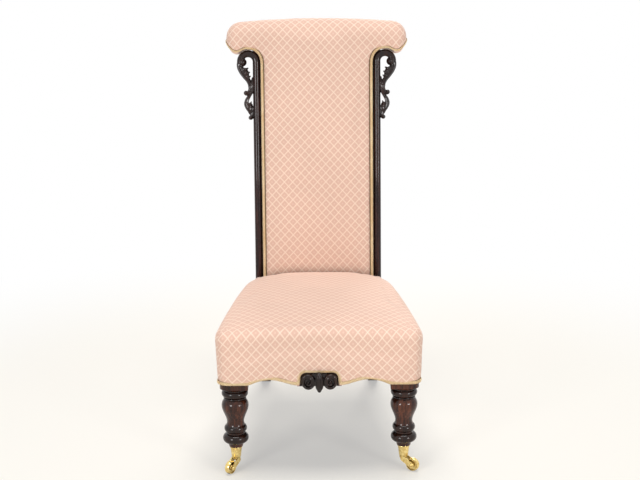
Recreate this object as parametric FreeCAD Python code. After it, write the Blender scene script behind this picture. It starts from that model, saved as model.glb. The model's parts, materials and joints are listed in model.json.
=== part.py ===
import FreeCAD, Part
import math
import os
from FreeCAD import Placement, Rotation, Vector

# A prie-dieu chair: low sprung seat, tall narrow padded back, padded T-shaped top.
# Millimetres. +Z is up, the chair faces -Y, and the origin is on the floor under its middle.
# Left and right are the viewer's, facing the chair: right is +X.

# Front legs
LEG_X = 185.0
LEG_Y = -292.0
LEG_BLOCK = 62.0
BLOCK_BOTTOM_Z = 196.0
LEG_FOOT_Z = 58.0
# Members of the turning from the foot upwards, as (radius, height)
FOOT_FLARE = [(15.0, LEG_FOOT_Z), (17.3, 66.0), (19.5, 67.5)]
LOWER_RING = [(28.5, 78.0), (19.5, 88.5)]
RING_NECK = (19.5, 92.0)
UPPER_RING = [(25.0, 100.5), (20.5, 108.5)]
BULB = [(18.8, 116.5), (22.5, 130.0), (29.5, 151.0), (23.0, 169.0)]
NECK_BEAD = [(25.0, 171.0), (23.0, 173.0)]
TOP_RING = [(29.0, 181.0), (24.5, 189.0)]
HEAD_COVE = [(24.5, 191.0), (29.0, BLOCK_BOTTOM_Z), (29.0, BLOCK_BOTTOM_Z + 1.0), (0.0, BLOCK_BOTTOM_Z + 1.0)]

# Seat frame
RAIL_BOTTOM_Z = 209.0
RAIL_TOP_Z = 275.0
FRONT_RAIL_THICK = 24.0
SIDE_RAIL_THICK = 22.0
RAIL_LIP = 12.0
REBATE_Z = 228.0
WEB_THICK = 1.5
WEB_WIDTH = 52.0
TENON_LOW_Z = 234.0
TENON_HIGH_Z = 266.0
TENON_THICK = 10.0

# Seat upholstery, seen in plan as a trapezium
SEAT_FRONT_Y = -326.0
SEAT_REAR_Y = 162.0
SEAT_FRONT_HALF = 223.0
SEAT_REAR_HALF = 161.0
SEAT_CROWN_Z = 354.0
SEAT_CROWN_Y = -40.0
SEAT_CROWN_RADIUS = 2200.0
SEAT_CORNER_RADIUS = 24.0
SEAT_EDGE_RADIUS = 19.0
RAIL_INSET = 3.0
CLOTH = 1.5
CLEAR = 0.5

# Shaped lower edge of the seat front, for x above zero, as (x, z)
FRONT_EDGE = [(154.0, 209.0), (128.0, 218.5), (96.0, 220.5), (48.0, 207.0)]
NOTCH_HALF = 41.0
NOTCH_FOOT_Z = 205.0
NOTCH_TOP_Z = 237.0
NOTCH_RADIUS = 12.0
BRAID_WIDTH = 7.0
BRAID_THICK = 2.0

# Springs under the seat
HESSIAN_INSET = 14.0
HESSIAN_CROWN_Z = 322.0
HESSIAN_CROWN_Y = -60.0
HESSIAN_RADIUS = 800.0
HESSIAN_THICK = 1.0
SPRING_RADIUS = 29.0
SPRING_WAIST = 21.0
SPRING_WIRE = 1.7
SPRING_HEIGHT = 68.0
SPRING_HALF_TURNS = 10
WEB_XS = [-72.0, 0.0, 72.0]
WEB_YS = [-185.0, -80.0, 25.0]

# Back. Its own frame has x across, q rearward from the posts' front plane, u up the lean.
BACK_Y = 164.0
BACK_Z = 350.0
BACK_LEAN = 6.0
POST_INNER = 126.0
POST_OUTER = 160.0
POST_DEPTH = 34.0
POST_TOP_U = 560.0
BEAD_RADIUS = 9.0
BEAD_X = POST_OUTER - BEAD_RADIUS
BEAD_LOW_U = -42.0
LEG_BREAK_U = -122.0
REAR_FOOT_Y = 304.0
REAR_FOOT_DEPTH = 36.0
REAR_FOOT_TAPER = 7.0
REAR_LEG_EASE = 38.0
REAR_LEG_KICK = 130.0
REAR_LEG_KICK_ANGLE = 46.0
REAR_REBATE_Q = 30.0
REAR_REBATE_WIDTH = 12.0
REAR_RAIL_Q = 8.0
LOWER_RAIL_U = (-62.0, -27.0)
POST_ROUNDING = 3.0

# Scroll brackets, in the back's frame, as (x, u) on the right
CROOK_X = 171.0
CROOK_U = 522.0
CROOK_RADIUS = 20.0
EYE = (186.5, 521.0, 10.5)
LEAF = [(192.0, 517.0), (187.0, 498.0), (175.0, 479.0), (167.0, 460.0)]
LEAF_RADIUS = 6.5
STEM = [(167.0, 462.0), (168.0, 452.0), (174.0, 446.0)]
STEM_RADIUS = 5.5
LOWER_SCROLL = [(164.0, 447.0), (173.0, 431.0), (177.0, 417.0), (170.0, 402.0), (164.5, 388.0)]
LOWER_SCROLL_RADIUS = 4.6
KNOB_TURN = 50.0
KNOB_TURN_AXIS = Vector(1, 1, 1)
UPWARD = (0.0, 1.0)
DOWNWARD = (0.0, -1.0)
LOWER_SCROLL_HEADING = (0.7, -1.0)
# Leaf lobes, upper knob, inner curl and end knob, as (x, u, radius)
KNOBS = [(178.0, 502.0, 6.0), (171.5, 492.0, 5.5), (166.5, 482.0, 5.5),
         (177.0, 445.0, 7.4), (167.0, 408.0, 6.4), (166.0, 383.0, 6.4)]
# Flat roots glued to the post, as (lowest u, highest u)
ROOTS = [(441.0, 484.0), (380.0, 412.0)]
ROOT_REACH = 4.5
DOWEL_RADIUS = 2.5
DOWEL_LENGTH = 20.0
DOWEL_US = (460.0, 396.0)

# Padded back
PAD_LOW_U = -46.0
PAD_HIGH_U = 586.0
PAD_HALF = 131.0
PAD_SHOULDER_HALF = 113.0
PAD_SHOULDER_Q = -20.5
PAD_CROWN_Q = -26.0
LEDGE_HALF = 140.0
LEDGE_Q = -4.0
BACK_WEB_US = (60.0, 500.0)
BACK_WEB_COUNT = 5
BACK_WEB_X = 58.0

# Padded T top
CREST_HALF = 221.0
CREST_LOW_U = 554.0
CREST_HIGH_U = 630.0
CREST_END_U = 621.0
CREST_FRONT_Q = -24.0
CREST_REAR_Q = 64.0
CREST_TOP_RADIUS = 34.0
CREST_BOTTOM_RADIUS = 26.0
CREST_END_RADIUS = 21.0
WING_RADIUS = 31.0

# Carved ornament on the front rail
VOLUTE_X = 23.5
VOLUTE_Z = 216.0
VOLUTE_RADIUS = 16.5
VOLUTE_DEPTH = 11.0
BUD_Z = 214.5
BUD_HALF = 20.0
BUD_RADIUS = 7.5

# Casters
WHEEL_RADIUS = 15.0
WHEEL_WIDTH = 11.0
WHEEL_DISH = 2.0
WHEEL_RIM_STEP = 0.4
HUB_RADIUS = 5.5
RIM_RADIUS = 12.0
TREAD_RADIUS = 13.8
AXLE_RADIUS = 2.5
TRAIL = 22.0
CUP_BOTTOM_Z = 34.0
CUP_BOTTOM_RADIUS = 10.2
CUP_TOP_RADIUS = 13.0
CUP_WALL = 1.7
CUP_FLOOR = 3.0
CUP_RIM = 3.0
CUP_SCREW_DROP = 8.0
CUP_SCREW_RADIUS = 1.2
CUP_SCREW_LENGTH = 8.0
CUP_SCREW_ANGLES = (-60.0, 120.0)
PIN_RADIUS = 3.0
PIN_HEAD_RADIUS = 5.2
PIN_HEAD_THICK = 2.0
PIN_HEAD_ROOM = 4.0
PIN_PLAY = 0.1
RUNNING = 0.05
HORN_TOP_Z = 32.8
HORN_PLATE_RADIUS = 9.2
HORN_PLATE_THICK = 4.6
CHEEK_RADIUS = 6.0
CHEEK_THICK = 2.6
CHEEK_GAP = WHEEL_WIDTH / 2 + 0.6
CHEEK_FACE = CHEEK_GAP + CHEEK_THICK
RIVET_RADIUS = 4.4
WASHER_RADIUS = 8.4
WASHER_THICK = 1.0
# Direction in which each wheel trails, in degrees from the front towards +X
TRAIL_ANGLE = {"left": -33.0, "right": 62.0}

SIDES = {"left": -1.0, "right": 1.0}
ORIGIN = Vector(0, 0, 0)
X_AXIS = Vector(1, 0, 0)
Y_AXIS = Vector(0, 1, 0)
Z_AXIS = Vector(0, 0, 1)


def plan(x, y):
    return Vector(x, y, 0)


def front(x, z):
    return Vector(x, 0, z)


def side(y, z):
    return Vector(0, y, z)


class Outline:
    """A closed outline of lines, arcs and curves, drawn in one plane."""

    def __init__(self, plane, start):
        self.plane = plane
        self.start = start
        self.at = start
        self.edges = []

    def line(self, *points):
        for point in points:
            self.edges.append(Part.makeLine(self.plane(*self.at), self.plane(*point)))
            self.at = point
        return self

    def arc(self, via, end):
        curve = Part.Arc(self.plane(*self.at), self.plane(*via), self.plane(*end))
        self.edges.append(curve.toShape())
        self.at = end
        return self

    def spline(self, *points):
        curve = Part.BSplineCurve()
        curve.interpolate([self.plane(*p) for p in [self.at, *points]])
        self.edges.append(curve.toShape())
        self.at = points[-1]
        return self

    def bezier(self, *poles):
        curve = Part.BezierCurve()
        curve.setPoles([self.plane(*p) for p in [self.at, *poles]])
        self.edges.append(curve.toShape())
        self.at = poles[-1]
        return self

    def face(self):
        if self.at != self.start:
            self.line(self.start)
        return Part.Face(Part.Wire(self.edges))


def box(x0, x1, y0, y1, z0, z1):
    return Part.makeBox(x1 - x0, y1 - y0, z1 - z0, Vector(x0, y0, z0))


def polygon_prism(points, z0, z1):
    """A prism on a polygon given in plan."""
    face = Outline(plan, points[0]).line(*points[1:]).face()
    prism = face.extrude(Vector(0, 0, z1 - z0))
    prism.translate(Vector(0, 0, z0))
    return prism


def extruded(face, direction, low, high):
    """A face moved to low along a direction and extruded to high."""
    solid = face.extrude(direction * (high - low))
    solid.translate(direction * low)
    return solid


def mirrored(shape):
    return shape.mirror(ORIGIN, X_AXIS)


def fused(shapes):
    return shapes[0].multiFuse(shapes[1:]).removeSplitter()


def cut(shape, tools):
    for tool in tools:
        shape = shape.cut(tool)
    return shape


def sided(shape, name):
    """A piece drawn on the right, or its mirror image for the left."""
    return shape if SIDES[name] > 0 else mirrored(shape)


# The back's leaning frame

LEAN_SIN = math.sin(math.radians(BACK_LEAN))
LEAN_COS = math.cos(math.radians(BACK_LEAN))
BACK_FRAME = Placement(Vector(0, BACK_Y, BACK_Z), Rotation(X_AXIS, -BACK_LEAN))


def leaned(shape):
    """A shape drawn in the back's frame, put where the back stands."""
    placed = shape.copy()
    placed.Placement = BACK_FRAME.multiply(placed.Placement)
    return placed


def back_point(q, u):
    """The (y, z) of a point of the back's frame."""
    return (BACK_Y + q * LEAN_COS + u * LEAN_SIN, BACK_Z - q * LEAN_SIN + u * LEAN_COS)


def back_y(q, z):
    """The y of the plane at depth q where it passes height z."""
    u = (z - BACK_Z + q * LEAN_SIN) / LEAN_COS
    return back_point(q, u)[0]


# Seat plan

SIDE_SLOPE = (SEAT_REAR_HALF - SEAT_FRONT_HALF) / (SEAT_REAR_Y - SEAT_FRONT_Y)
SIDE_STRETCH = math.hypot(1.0, SIDE_SLOPE)


def side_x(y, inset=0.0):
    """Half width of the seat at y, less an inset square to its side."""
    return SEAT_FRONT_HALF + (y - SEAT_FRONT_Y) * SIDE_SLOPE - inset * SIDE_STRETCH


def seat_prism(inset, z0, z1, rear_y=SEAT_REAR_Y):
    """The seat's trapezium, drawn in by an inset, with round front corners."""
    front_y = SEAT_FRONT_Y + inset
    half_front = side_x(front_y, inset)
    half_rear = side_x(rear_y, inset)
    corners = [(half_front, front_y), (half_rear, rear_y), (-half_rear, rear_y), (-half_front, front_y)]
    prism = polygon_prism(corners, z0, z1)
    round_corners = [e for e in prism.Edges
                     if abs(e.tangentAt(e.FirstParameter).z) > 0.9 and e.CenterOfMass.y < 0]
    return prism.makeFillet(max(SEAT_CORNER_RADIUS - inset, 2.0), round_corners)


def seat_dome(inset, z0, rear_y=SEAT_REAR_Y):
    """The crowned seat, drawn in by an inset on every side."""
    prism = seat_prism(inset, z0, SEAT_CROWN_Z + 10, rear_y)
    radius = SEAT_CROWN_RADIUS - inset
    ball = Part.makeSphere(radius, Vector(0, SEAT_CROWN_Y, SEAT_CROWN_Z - SEAT_CROWN_RADIUS))
    dome = prism.common(ball)
    top_edges = [e for e in dome.Edges if not e.Degenerated
                 and e.CenterOfMass.z > RAIL_TOP_Z + 30 and e.CenterOfMass.y < rear_y - 5]
    rim = [e for e in top_edges if abs(e.tangentAt(e.FirstParameter).z) < 0.5]
    return dome.makeFillet(SEAT_EDGE_RADIUS - inset, rim)


def hessian_dome(inset, z0):
    """The space over the springs, a shallow dome standing on the rails."""
    prism = seat_prism(HESSIAN_INSET + inset, z0, HESSIAN_CROWN_Z + 10, SEAT_REAR_Y - HESSIAN_INSET - inset)
    ball = Part.makeSphere(HESSIAN_RADIUS - inset,
                           Vector(0, HESSIAN_CROWN_Y, HESSIAN_CROWN_Z - HESSIAN_RADIUS))
    return prism.common(ball)


# Front legs and casters

def cup_radius(z):
    """Outside radius of the caster cup at height z."""
    share = (z - CUP_BOTTOM_Z) / (LEG_FOOT_Z - CUP_BOTTOM_Z)
    return CUP_BOTTOM_RADIUS + (CUP_TOP_RADIUS - CUP_BOTTOM_RADIUS) * share


def turned(outline, x, y):
    solid = outline.face().revolve(ORIGIN, Z_AXIS, 360)
    solid.translate(Vector(x, y, 0))
    return solid


def leg_turning():
    """The turned leg, from the spigot inside the caster cup to the square head."""
    spigot_z = CUP_BOTTOM_Z + CUP_FLOOR + PIN_HEAD_ROOM
    gap = CUP_WALL + RUNNING
    outline = Outline(lambda r, z: Vector(r, 0, z), (0.0, spigot_z))
    outline.line((cup_radius(spigot_z) - gap, spigot_z), (cup_radius(LEG_FOOT_Z) - gap, LEG_FOOT_Z))
    outline.line(*FOOT_FLARE)
    outline.arc(*LOWER_RING)
    outline.line(RING_NECK)
    outline.arc(*UPPER_RING)
    outline.spline(*BULB)
    outline.arc(*NECK_BEAD)
    outline.arc(*TOP_RING)
    outline.line(*HEAD_COVE)
    return turned(outline, LEG_X, LEG_Y)


def leg_head():
    """The square head, planed to the line of the seat side and rounded at the seat's corner."""
    half = LEG_BLOCK / 2
    front_y = LEG_Y - half
    rear_y = LEG_Y + half
    corners = [(LEG_X - half, front_y), (side_x(front_y, RAIL_INSET), front_y),
               (side_x(rear_y, RAIL_INSET), rear_y), (LEG_X - half, rear_y)]
    head = polygon_prism(corners, BLOCK_BOTTOM_Z, RAIL_TOP_Z)
    outer = [e for e in head.Edges if e.BoundBox.ZLength > half
             and e.CenterOfMass.x > LEG_X and e.CenterOfMass.y < LEG_Y]
    return head.makeFillet(SEAT_CORNER_RADIUS - RAIL_INSET, outer)


def front_leg():
    return leg_turning().fuse(leg_head()).removeSplitter()


def caster_cup():
    """The brass cup that the foot of the leg stands in."""
    inner_floor = CUP_BOTTOM_Z + CUP_FLOOR
    rim_z = LEG_FOOT_Z - CUP_RIM
    outline = Outline(lambda r, z: Vector(r, 0, z), (PIN_RADIUS + RUNNING, CUP_BOTTOM_Z))
    outline.line((CUP_BOTTOM_RADIUS, CUP_BOTTOM_Z), (cup_radius(rim_z), rim_z))
    outline.arc((cup_radius(rim_z) + CUP_RIM / 2, rim_z + CUP_RIM / 2), (cup_radius(LEG_FOOT_Z), LEG_FOOT_Z))
    outline.line((cup_radius(LEG_FOOT_Z) - CUP_WALL, LEG_FOOT_Z))
    outline.line((cup_radius(inner_floor) - CUP_WALL, inner_floor), (PIN_RADIUS + RUNNING, inner_floor))
    return turned(outline, LEG_X, LEG_Y)


def caster_screws():
    """Two round-headed screws through the cup wall into the leg."""
    screws = []
    z = LEG_FOOT_Z - CUP_SCREW_DROP
    for angle in CUP_SCREW_ANGLES:
        wall = cup_radius(z)
        point = Vector(wall + 1 - CUP_SCREW_LENGTH, 0, z)
        shank = Part.makeCylinder(CUP_SCREW_RADIUS, CUP_SCREW_LENGTH, point, X_AXIS)
        head = Part.makeSphere(2 * CUP_SCREW_RADIUS, Vector(wall - CUP_SCREW_RADIUS / 2, 0, z))
        head = head.cut(box(0, wall, -wall, wall, 0, LEG_FOOT_Z))
        screw = shank.fuse(head)
        screw.rotate(ORIGIN, Z_AXIS, angle)
        screw.translate(Vector(LEG_X, LEG_Y, 0))
        screws.append(screw)
    return Part.makeCompound(screws)


def horn_cheek(offset):
    """One cheek of the horn, a long oval from the swivel to the axle."""
    radius = CHEEK_RADIUS
    top = Vector(2.0, offset, HORN_TOP_Z - radius)
    axle = Vector(TRAIL, offset, WHEEL_RADIUS)
    run = axle.sub(top)
    normal = Vector(-run.z, 0, run.x).normalize() * radius
    ahead = Vector(run).normalize() * radius
    edges = [Part.makeLine(top + normal, axle + normal),
             Part.Arc(axle + normal, axle + ahead, axle - normal).toShape(),
             Part.makeLine(axle - normal, top - normal),
             Part.Arc(top - normal, top - ahead, top + normal).toShape()]
    return Part.Face(Part.Wire(edges))


def caster_horn():
    """The forked horn, drawn with the wheel trailing along +X."""
    low = Vector(0, 0, HORN_TOP_Z - HORN_PLATE_THICK)
    plate = Part.makeCylinder(HORN_PLATE_RADIUS, HORN_PLATE_THICK, low)
    cheeks = [horn_cheek(sign * CHEEK_GAP).extrude(Y_AXIS * (sign * CHEEK_THICK)) for sign in (-1, 1)]
    return fused([plate] + cheeks)


def caster_pin():
    """The swivel pin, riveted in the horn, with its head inside the cup."""
    head_z = CUP_BOTTOM_Z + CUP_FLOOR + PIN_PLAY
    low_z = HORN_TOP_Z - HORN_PLATE_THICK
    pin = Part.makeCylinder(PIN_RADIUS, head_z - low_z, Vector(0, 0, low_z))
    head = Part.makeCylinder(PIN_HEAD_RADIUS, PIN_HEAD_THICK, Vector(0, 0, head_z))
    return pin.fuse(head).removeSplitter()


def caster_washer():
    ring = Part.makeCylinder(WASHER_RADIUS, WASHER_THICK, Vector(0, 0, HORN_TOP_Z))
    return ring.cut(Part.makeCylinder(PIN_RADIUS, WASHER_THICK, Vector(0, 0, HORN_TOP_Z)))


def caster_axle():
    """The wheel's axle, with a rivet head on each cheek."""
    low = Vector(TRAIL, -CHEEK_FACE, WHEEL_RADIUS)
    axle = Part.makeCylinder(AXLE_RADIUS, 2 * CHEEK_FACE, low, Y_AXIS)
    heads = []
    for sign in (-1, 1):
        head = Part.makeSphere(RIVET_RADIUS, Vector(TRAIL, sign * CHEEK_GAP, WHEEL_RADIUS))
        heads.append(head.cut(box(0, 2 * TRAIL, -CHEEK_FACE, CHEEK_FACE, 0, 2 * WHEEL_RADIUS)))
    return fused([axle] + heads)


def caster_wheel():
    """A brass wheel with a crowned tread and dished faces."""
    half = WHEEL_WIDTH / 2
    rim = half - WHEEL_RIM_STEP
    dish = half - WHEEL_DISH
    face = [(HUB_RADIUS, half), (HUB_RADIUS + 1, dish), (RIM_RADIUS - 1, dish),
            (RIM_RADIUS, rim), (TREAD_RADIUS, rim)]
    outline = Outline(lambda r, y: Vector(r, y, 0), (AXLE_RADIUS + RUNNING, -half))
    outline.line(*[(r, -y) for r, y in face])
    outline.arc((WHEEL_RADIUS, 0.0), (TREAD_RADIUS, rim))
    outline.line(*face[-2::-1], (AXLE_RADIUS + RUNNING, half))
    wheel = outline.face().revolve(ORIGIN, Y_AXIS, 360)
    wheel.translate(Vector(TRAIL, 0, WHEEL_RADIUS))
    return wheel


def trailing(shape, name):
    """A caster piece turned to its trail direction and put under its leg."""
    placed = shape.copy()
    placed.rotate(ORIGIN, Z_AXIS, TRAIL_ANGLE[name] - 90.0)
    placed.translate(Vector(SIDES[name] * LEG_X, LEG_Y, 0))
    return placed


# Seat rails

def front_edge_face(rise, low_z):
    """Everything from low_z up to the seat front's shaped lower edge, raised by rise, on the right."""
    reach = SEAT_FRONT_HALF + 20
    start = FRONT_EDGE[0]
    outline = Outline(front, (reach, low_z))
    outline.line((reach, start[1] + rise), (start[0], start[1] + rise))
    outline.spline(*[(x, z + rise) for x, z in FRONT_EDGE[1:]])
    inner = FRONT_EDGE[-1]
    outline.line((inner[0], low_z))
    return outline.face()


def front_band(low_rise, high_rise, y0, y1):
    """A strip that follows the shaped lower edge on both sides of the ornament."""
    high = extruded(front_edge_face(high_rise, RAIL_BOTTOM_Z - 40), Y_AXIS, y0, y1)
    low = extruded(front_edge_face(low_rise, RAIL_BOTTOM_Z - 50), Y_AXIS, y0, y1)
    right = high.cut(low)
    return right, mirrored(right)


def below_front_edge(y0, y1):
    """What lies under the seat front's lower edge."""
    right = extruded(front_edge_face(0.0, RAIL_BOTTOM_Z - 50), Y_AXIS, y0, y1)
    inner = FRONT_EDGE[-1][0]
    middle = box(-inner, inner, y0, y1, RAIL_BOTTOM_Z - 50, NOTCH_FOOT_Z)
    return [right, mirrored(right), middle]


def front_seat_rail():
    """The front rail, with a shaped lower lip, a rebate behind it and a tenon at each end."""
    half = LEG_X - LEG_BLOCK / 2
    y0 = LEG_Y - LEG_BLOCK / 2
    rail = box(-half, half, y0, y0 + FRONT_RAIL_THICK, RAIL_BOTTOM_Z - 20, RAIL_TOP_Z)
    rail = rail.cut(box(-half, half, y0 + RAIL_LIP, y0 + FRONT_RAIL_THICK, RAIL_BOTTOM_Z - 20, REBATE_Z))
    rail = cut(rail, below_front_edge(y0 - 5, y0 + FRONT_RAIL_THICK + 5))
    tenon = box(-half - 20, half + 20, y0 + 7, y0 + 7 + TENON_THICK, TENON_LOW_Z, TENON_HIGH_Z)
    return rail.fuse(tenon).removeSplitter()


def side_strip(inset, thick, y0, y1, z0, z1):
    """A straight strip along the right side of the seat."""
    corners = [(side_x(y0, inset), y0), (side_x(y1, inset), y1),
               (side_x(y1, inset + thick), y1), (side_x(y0, inset + thick), y0)]
    return polygon_prism(corners, z0, z1)


def side_seat_rail(post):
    """The right side rail, shouldered against the leg and the post, with a tenon in each."""
    y0 = LEG_Y + LEG_BLOCK / 2
    y1 = back_y(0.0, RAIL_TOP_Z) + 10
    rail = side_strip(RAIL_INSET, SIDE_RAIL_THICK, y0, y1, RAIL_BOTTOM_Z, RAIL_TOP_Z)
    rebate = side_strip(RAIL_INSET + RAIL_LIP, SIDE_RAIL_THICK, y0 - 5, y1 + 5,
                        RAIL_BOTTOM_Z - 5, REBATE_Z - WEB_THICK)
    rail = cut(rail, [rebate, post])
    tenon_y1 = back_y(10.0, TENON_LOW_Z)
    tenon = side_strip(RAIL_INSET + 6, TENON_THICK, y0 - 24, tenon_y1, TENON_LOW_Z, TENON_HIGH_Z)
    return rail.fuse(tenon).removeSplitter()


def rear_seat_rail():
    """The rear rail, with its back face on the lean of the posts."""
    front_y = back_y(REAR_RAIL_Q, RAIL_TOP_Z)
    outline = Outline(side, (front_y, REBATE_Z))
    outline.line((back_y(REAR_REBATE_Q, REBATE_Z), REBATE_Z), (back_y(REAR_REBATE_Q, RAIL_TOP_Z), RAIL_TOP_Z))
    outline.line((front_y, RAIL_TOP_Z))
    rail = extruded(outline.face(), X_AXIS, -POST_INNER, POST_INNER)
    reach = POST_INNER + 18
    tenon_y = front_y + 6
    tenon = box(-reach, reach, tenon_y, tenon_y + TENON_THICK, TENON_LOW_Z, TENON_HIGH_Z)
    return rail.fuse(tenon).removeSplitter()


BLOCK_LOW_Z = 236.0
BLOCK_HIGH_Z = 268.0
SCREW_LENGTH = 30.0
SCREW_RADIUS = 2.0
SCREW_HEAD_RADIUS = 4.2
FRONT_BLOCK_X = 108.0
FRONT_BLOCK_Y = -215.0
REAR_BLOCK_X = 80.0
REAR_BLOCK_Y = 105.0


def front_corner_block():
    """A glue block behind the right front leg."""
    half = LEG_BLOCK / 2
    rail_y = LEG_Y - half + FRONT_RAIL_THICK
    inset = RAIL_INSET + SIDE_RAIL_THICK
    corners = [(FRONT_BLOCK_X, rail_y), (LEG_X - half, rail_y), (LEG_X - half, LEG_Y + half),
               (side_x(LEG_Y + half, inset), LEG_Y + half), (side_x(FRONT_BLOCK_Y, inset), FRONT_BLOCK_Y)]
    return polygon_prism(corners, BLOCK_LOW_Z, BLOCK_HIGH_Z)


def rear_corner_block(post):
    """A glue block in front of the right rear post."""
    rail_y = back_y(REAR_RAIL_Q, RAIL_TOP_Z)
    inset = RAIL_INSET + SIDE_RAIL_THICK
    corners = [(REAR_BLOCK_X, rail_y), (POST_INNER, rail_y), (side_x(rail_y, inset), rail_y),
               (side_x(REAR_BLOCK_Y, inset), REAR_BLOCK_Y)]
    return polygon_prism(corners, BLOCK_LOW_Z, BLOCK_HIGH_Z).cut(post)


def wood_screw(head, direction):
    """A countersunk screw whose head lies at a point."""
    shank = Part.makeCylinder(SCREW_RADIUS, SCREW_LENGTH, head, direction)
    cone = Part.makeCone(SCREW_HEAD_RADIUS, SCREW_RADIUS, 3.0, head, direction)
    return shank.fuse(cone).removeSplitter()


def on_line(a, b, x=None, y=None):
    """The point of the line a to b at a given x or y."""
    share = (x - a[0]) / (b[0] - a[0]) if x is not None else (y - a[1]) / (b[1] - a[1])
    return (a[0] + share * (b[0] - a[0]), a[1] + share * (b[1] - a[1]))


def corner_screws():
    """The screws of the two right-hand corner blocks."""
    z = (BLOCK_LOW_Z + BLOCK_HIGH_Z) / 2
    inset = RAIL_INSET + SIDE_RAIL_THICK
    front_a = (FRONT_BLOCK_X, LEG_Y - LEG_BLOCK / 2 + FRONT_RAIL_THICK)
    front_b = (side_x(FRONT_BLOCK_Y, inset), FRONT_BLOCK_Y)
    rear_a = (REAR_BLOCK_X, back_y(REAR_RAIL_Q, RAIL_TOP_Z))
    rear_b = (side_x(REAR_BLOCK_Y, inset), REAR_BLOCK_Y)
    into_front = on_line(front_a, front_b, x=FRONT_BLOCK_X + 20)
    into_side = on_line(front_a, front_b, y=FRONT_BLOCK_Y - 18)
    into_rear = on_line(rear_a, rear_b, x=REAR_BLOCK_X + 18)
    into_side_rear = on_line(rear_a, rear_b, y=REAR_BLOCK_Y + 16)
    return [wood_screw(Vector(*into_front, z), Vector(0, -1, 0)),
            wood_screw(Vector(*into_side, z), X_AXIS),
            wood_screw(Vector(*into_rear, z), Y_AXIS),
            wood_screw(Vector(*into_side_rear, z), X_AXIS)]


# Rear posts and back frame

def post_profile():
    """Side view of a post: leaning above the seat, swept back below it."""
    kick = math.radians(REAR_LEG_KICK_ANGLE)
    kick_y = REAR_LEG_KICK * math.sin(kick)
    kick_z = REAR_LEG_KICK * math.cos(kick)
    heel_y = REAR_FOOT_Y + REAR_FOOT_DEPTH
    outline = Outline(side, back_point(0.0, POST_TOP_U))
    outline.line(back_point(0.0, LEG_BREAK_U))
    outline.bezier(back_point(0.0, LEG_BREAK_U - REAR_LEG_EASE), (REAR_FOOT_Y - kick_y, kick_z),
                   (REAR_FOOT_Y, 0.0))
    outline.line((heel_y, 0.0))
    outline.bezier((heel_y - kick_y, kick_z), back_point(POST_DEPTH, LEG_BREAK_U - REAR_LEG_EASE + 8),
                   back_point(POST_DEPTH, LEG_BREAK_U))
    outline.line(back_point(POST_DEPTH, POST_TOP_U))
    return outline.face()


def rear_post_body():
    """The right post before its mortises are cut."""
    post = extruded(post_profile(), X_AXIS, POST_INNER, POST_OUTER)
    rear_edges = [e for e in post.Edges if abs(e.tangentAt(e.FirstParameter).x) < 0.5
                  and e.CenterOfMass.y > back_y(POST_DEPTH * 0.6, e.CenterOfMass.z)
                  and e.BoundBox.ZLength > 100]
    post = post.makeFillet(POST_ROUNDING, rear_edges)
    break_z = back_point(0.0, LEG_BREAK_U)[1]
    taper = Outline(front, (POST_INNER, break_z))
    taper.line((POST_INNER + REAR_FOOT_TAPER, 0.0), (POST_INNER - 10, 0.0), (POST_INNER - 10, break_z))
    post = post.cut(extruded(taper.face(), Y_AXIS, 100.0, 400.0))
    bead = Part.makeCylinder(BEAD_RADIUS, CROOK_U - BEAD_LOW_U, Vector(BEAD_X, 0, BEAD_LOW_U))
    rebate = box(POST_INNER - 1, POST_INNER + REAR_REBATE_WIDTH, REAR_REBATE_Q, POST_DEPTH + 5,
                 LEG_BREAK_U, POST_TOP_U + 1)
    tenon = box(POST_INNER + 7, POST_INNER + 27, 12.0, 24.0, POST_TOP_U - 1, POST_TOP_U + 24)
    return post.fuse(leaned(bead)).cut(leaned(rebate)).fuse(leaned(tenon)).removeSplitter()


def back_lower_rail():
    """The rail that carries the foot of the padded back."""
    low, high = LOWER_RAIL_U
    tenon_q = REAR_RAIL_Q + 6
    rail = box(-POST_INNER, POST_INNER, REAR_RAIL_Q, REAR_REBATE_Q, low, high)
    tenon = box(-POST_INNER - 16, POST_INNER + 16, tenon_q, tenon_q + TENON_THICK, low + 4, high - 4)
    return leaned(rail.fuse(tenon).removeSplitter())


CREST_RAIL_HIGH_U = 596.0
CREST_RAIL_HALF = 198.0
CREST_RAIL_Q = 4.0
CREST_BOARD_HALF = 202.0
CREST_BOARD_Q = (-6.0, 48.0)
CREST_BOARD_THICK = 10.0


def crest_rail():
    """The beam across the top of the posts."""
    half = CREST_RAIL_HALF
    return leaned(box(-half, half, CREST_RAIL_Q, POST_DEPTH, POST_TOP_U, CREST_RAIL_HIGH_U))


def crest_board():
    """The flat board that makes the top broad enough for the arms."""
    half = CREST_BOARD_HALF
    return leaned(box(-half, half, *CREST_BOARD_Q, CREST_RAIL_HIGH_U, CREST_RAIL_HIGH_U + CREST_BOARD_THICK))


# Scroll brackets, drawn in the back's frame on the right

def tangent_arcs(points, heading):
    """Arcs through points, each leaving in the direction in which the last one arrived."""
    edges = []
    heading = Vector(heading).normalize()
    for start, end in zip(points, points[1:]):
        chord = end.sub(start)
        along = Vector(chord).normalize()
        across = heading - along * heading.dot(along)
        cosine = heading.dot(along)
        rise = chord.Length / 2 * across.Length / (1 + cosine)
        middle = (start + end) * 0.5 + across.normalize() * rise
        edges.append(Part.Arc(start, middle, end).toShape())
        heading = along * (2 * cosine) - heading
    return Part.Wire(edges)


def tube(points, radius, heading):
    """A round bar along a chain of arcs through points of the back's frame."""
    nodes = [Vector(x, 0, u) for x, u in points]
    direction = Vector(heading[0], 0, heading[1])
    ring = Part.Face(Part.Wire(Part.makeCircle(radius, nodes[0], direction)))
    return tangent_arcs(nodes, direction).makePipe(ring)


def knob(x, u, radius):
    """A ball whose poles are turned away from the planes of the bars."""
    centre = Vector(x, 0, u)
    ball = Part.makeSphere(radius, centre)
    ball.rotate(centre, KNOB_TURN_AXIS, KNOB_TURN)
    return ball


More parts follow.
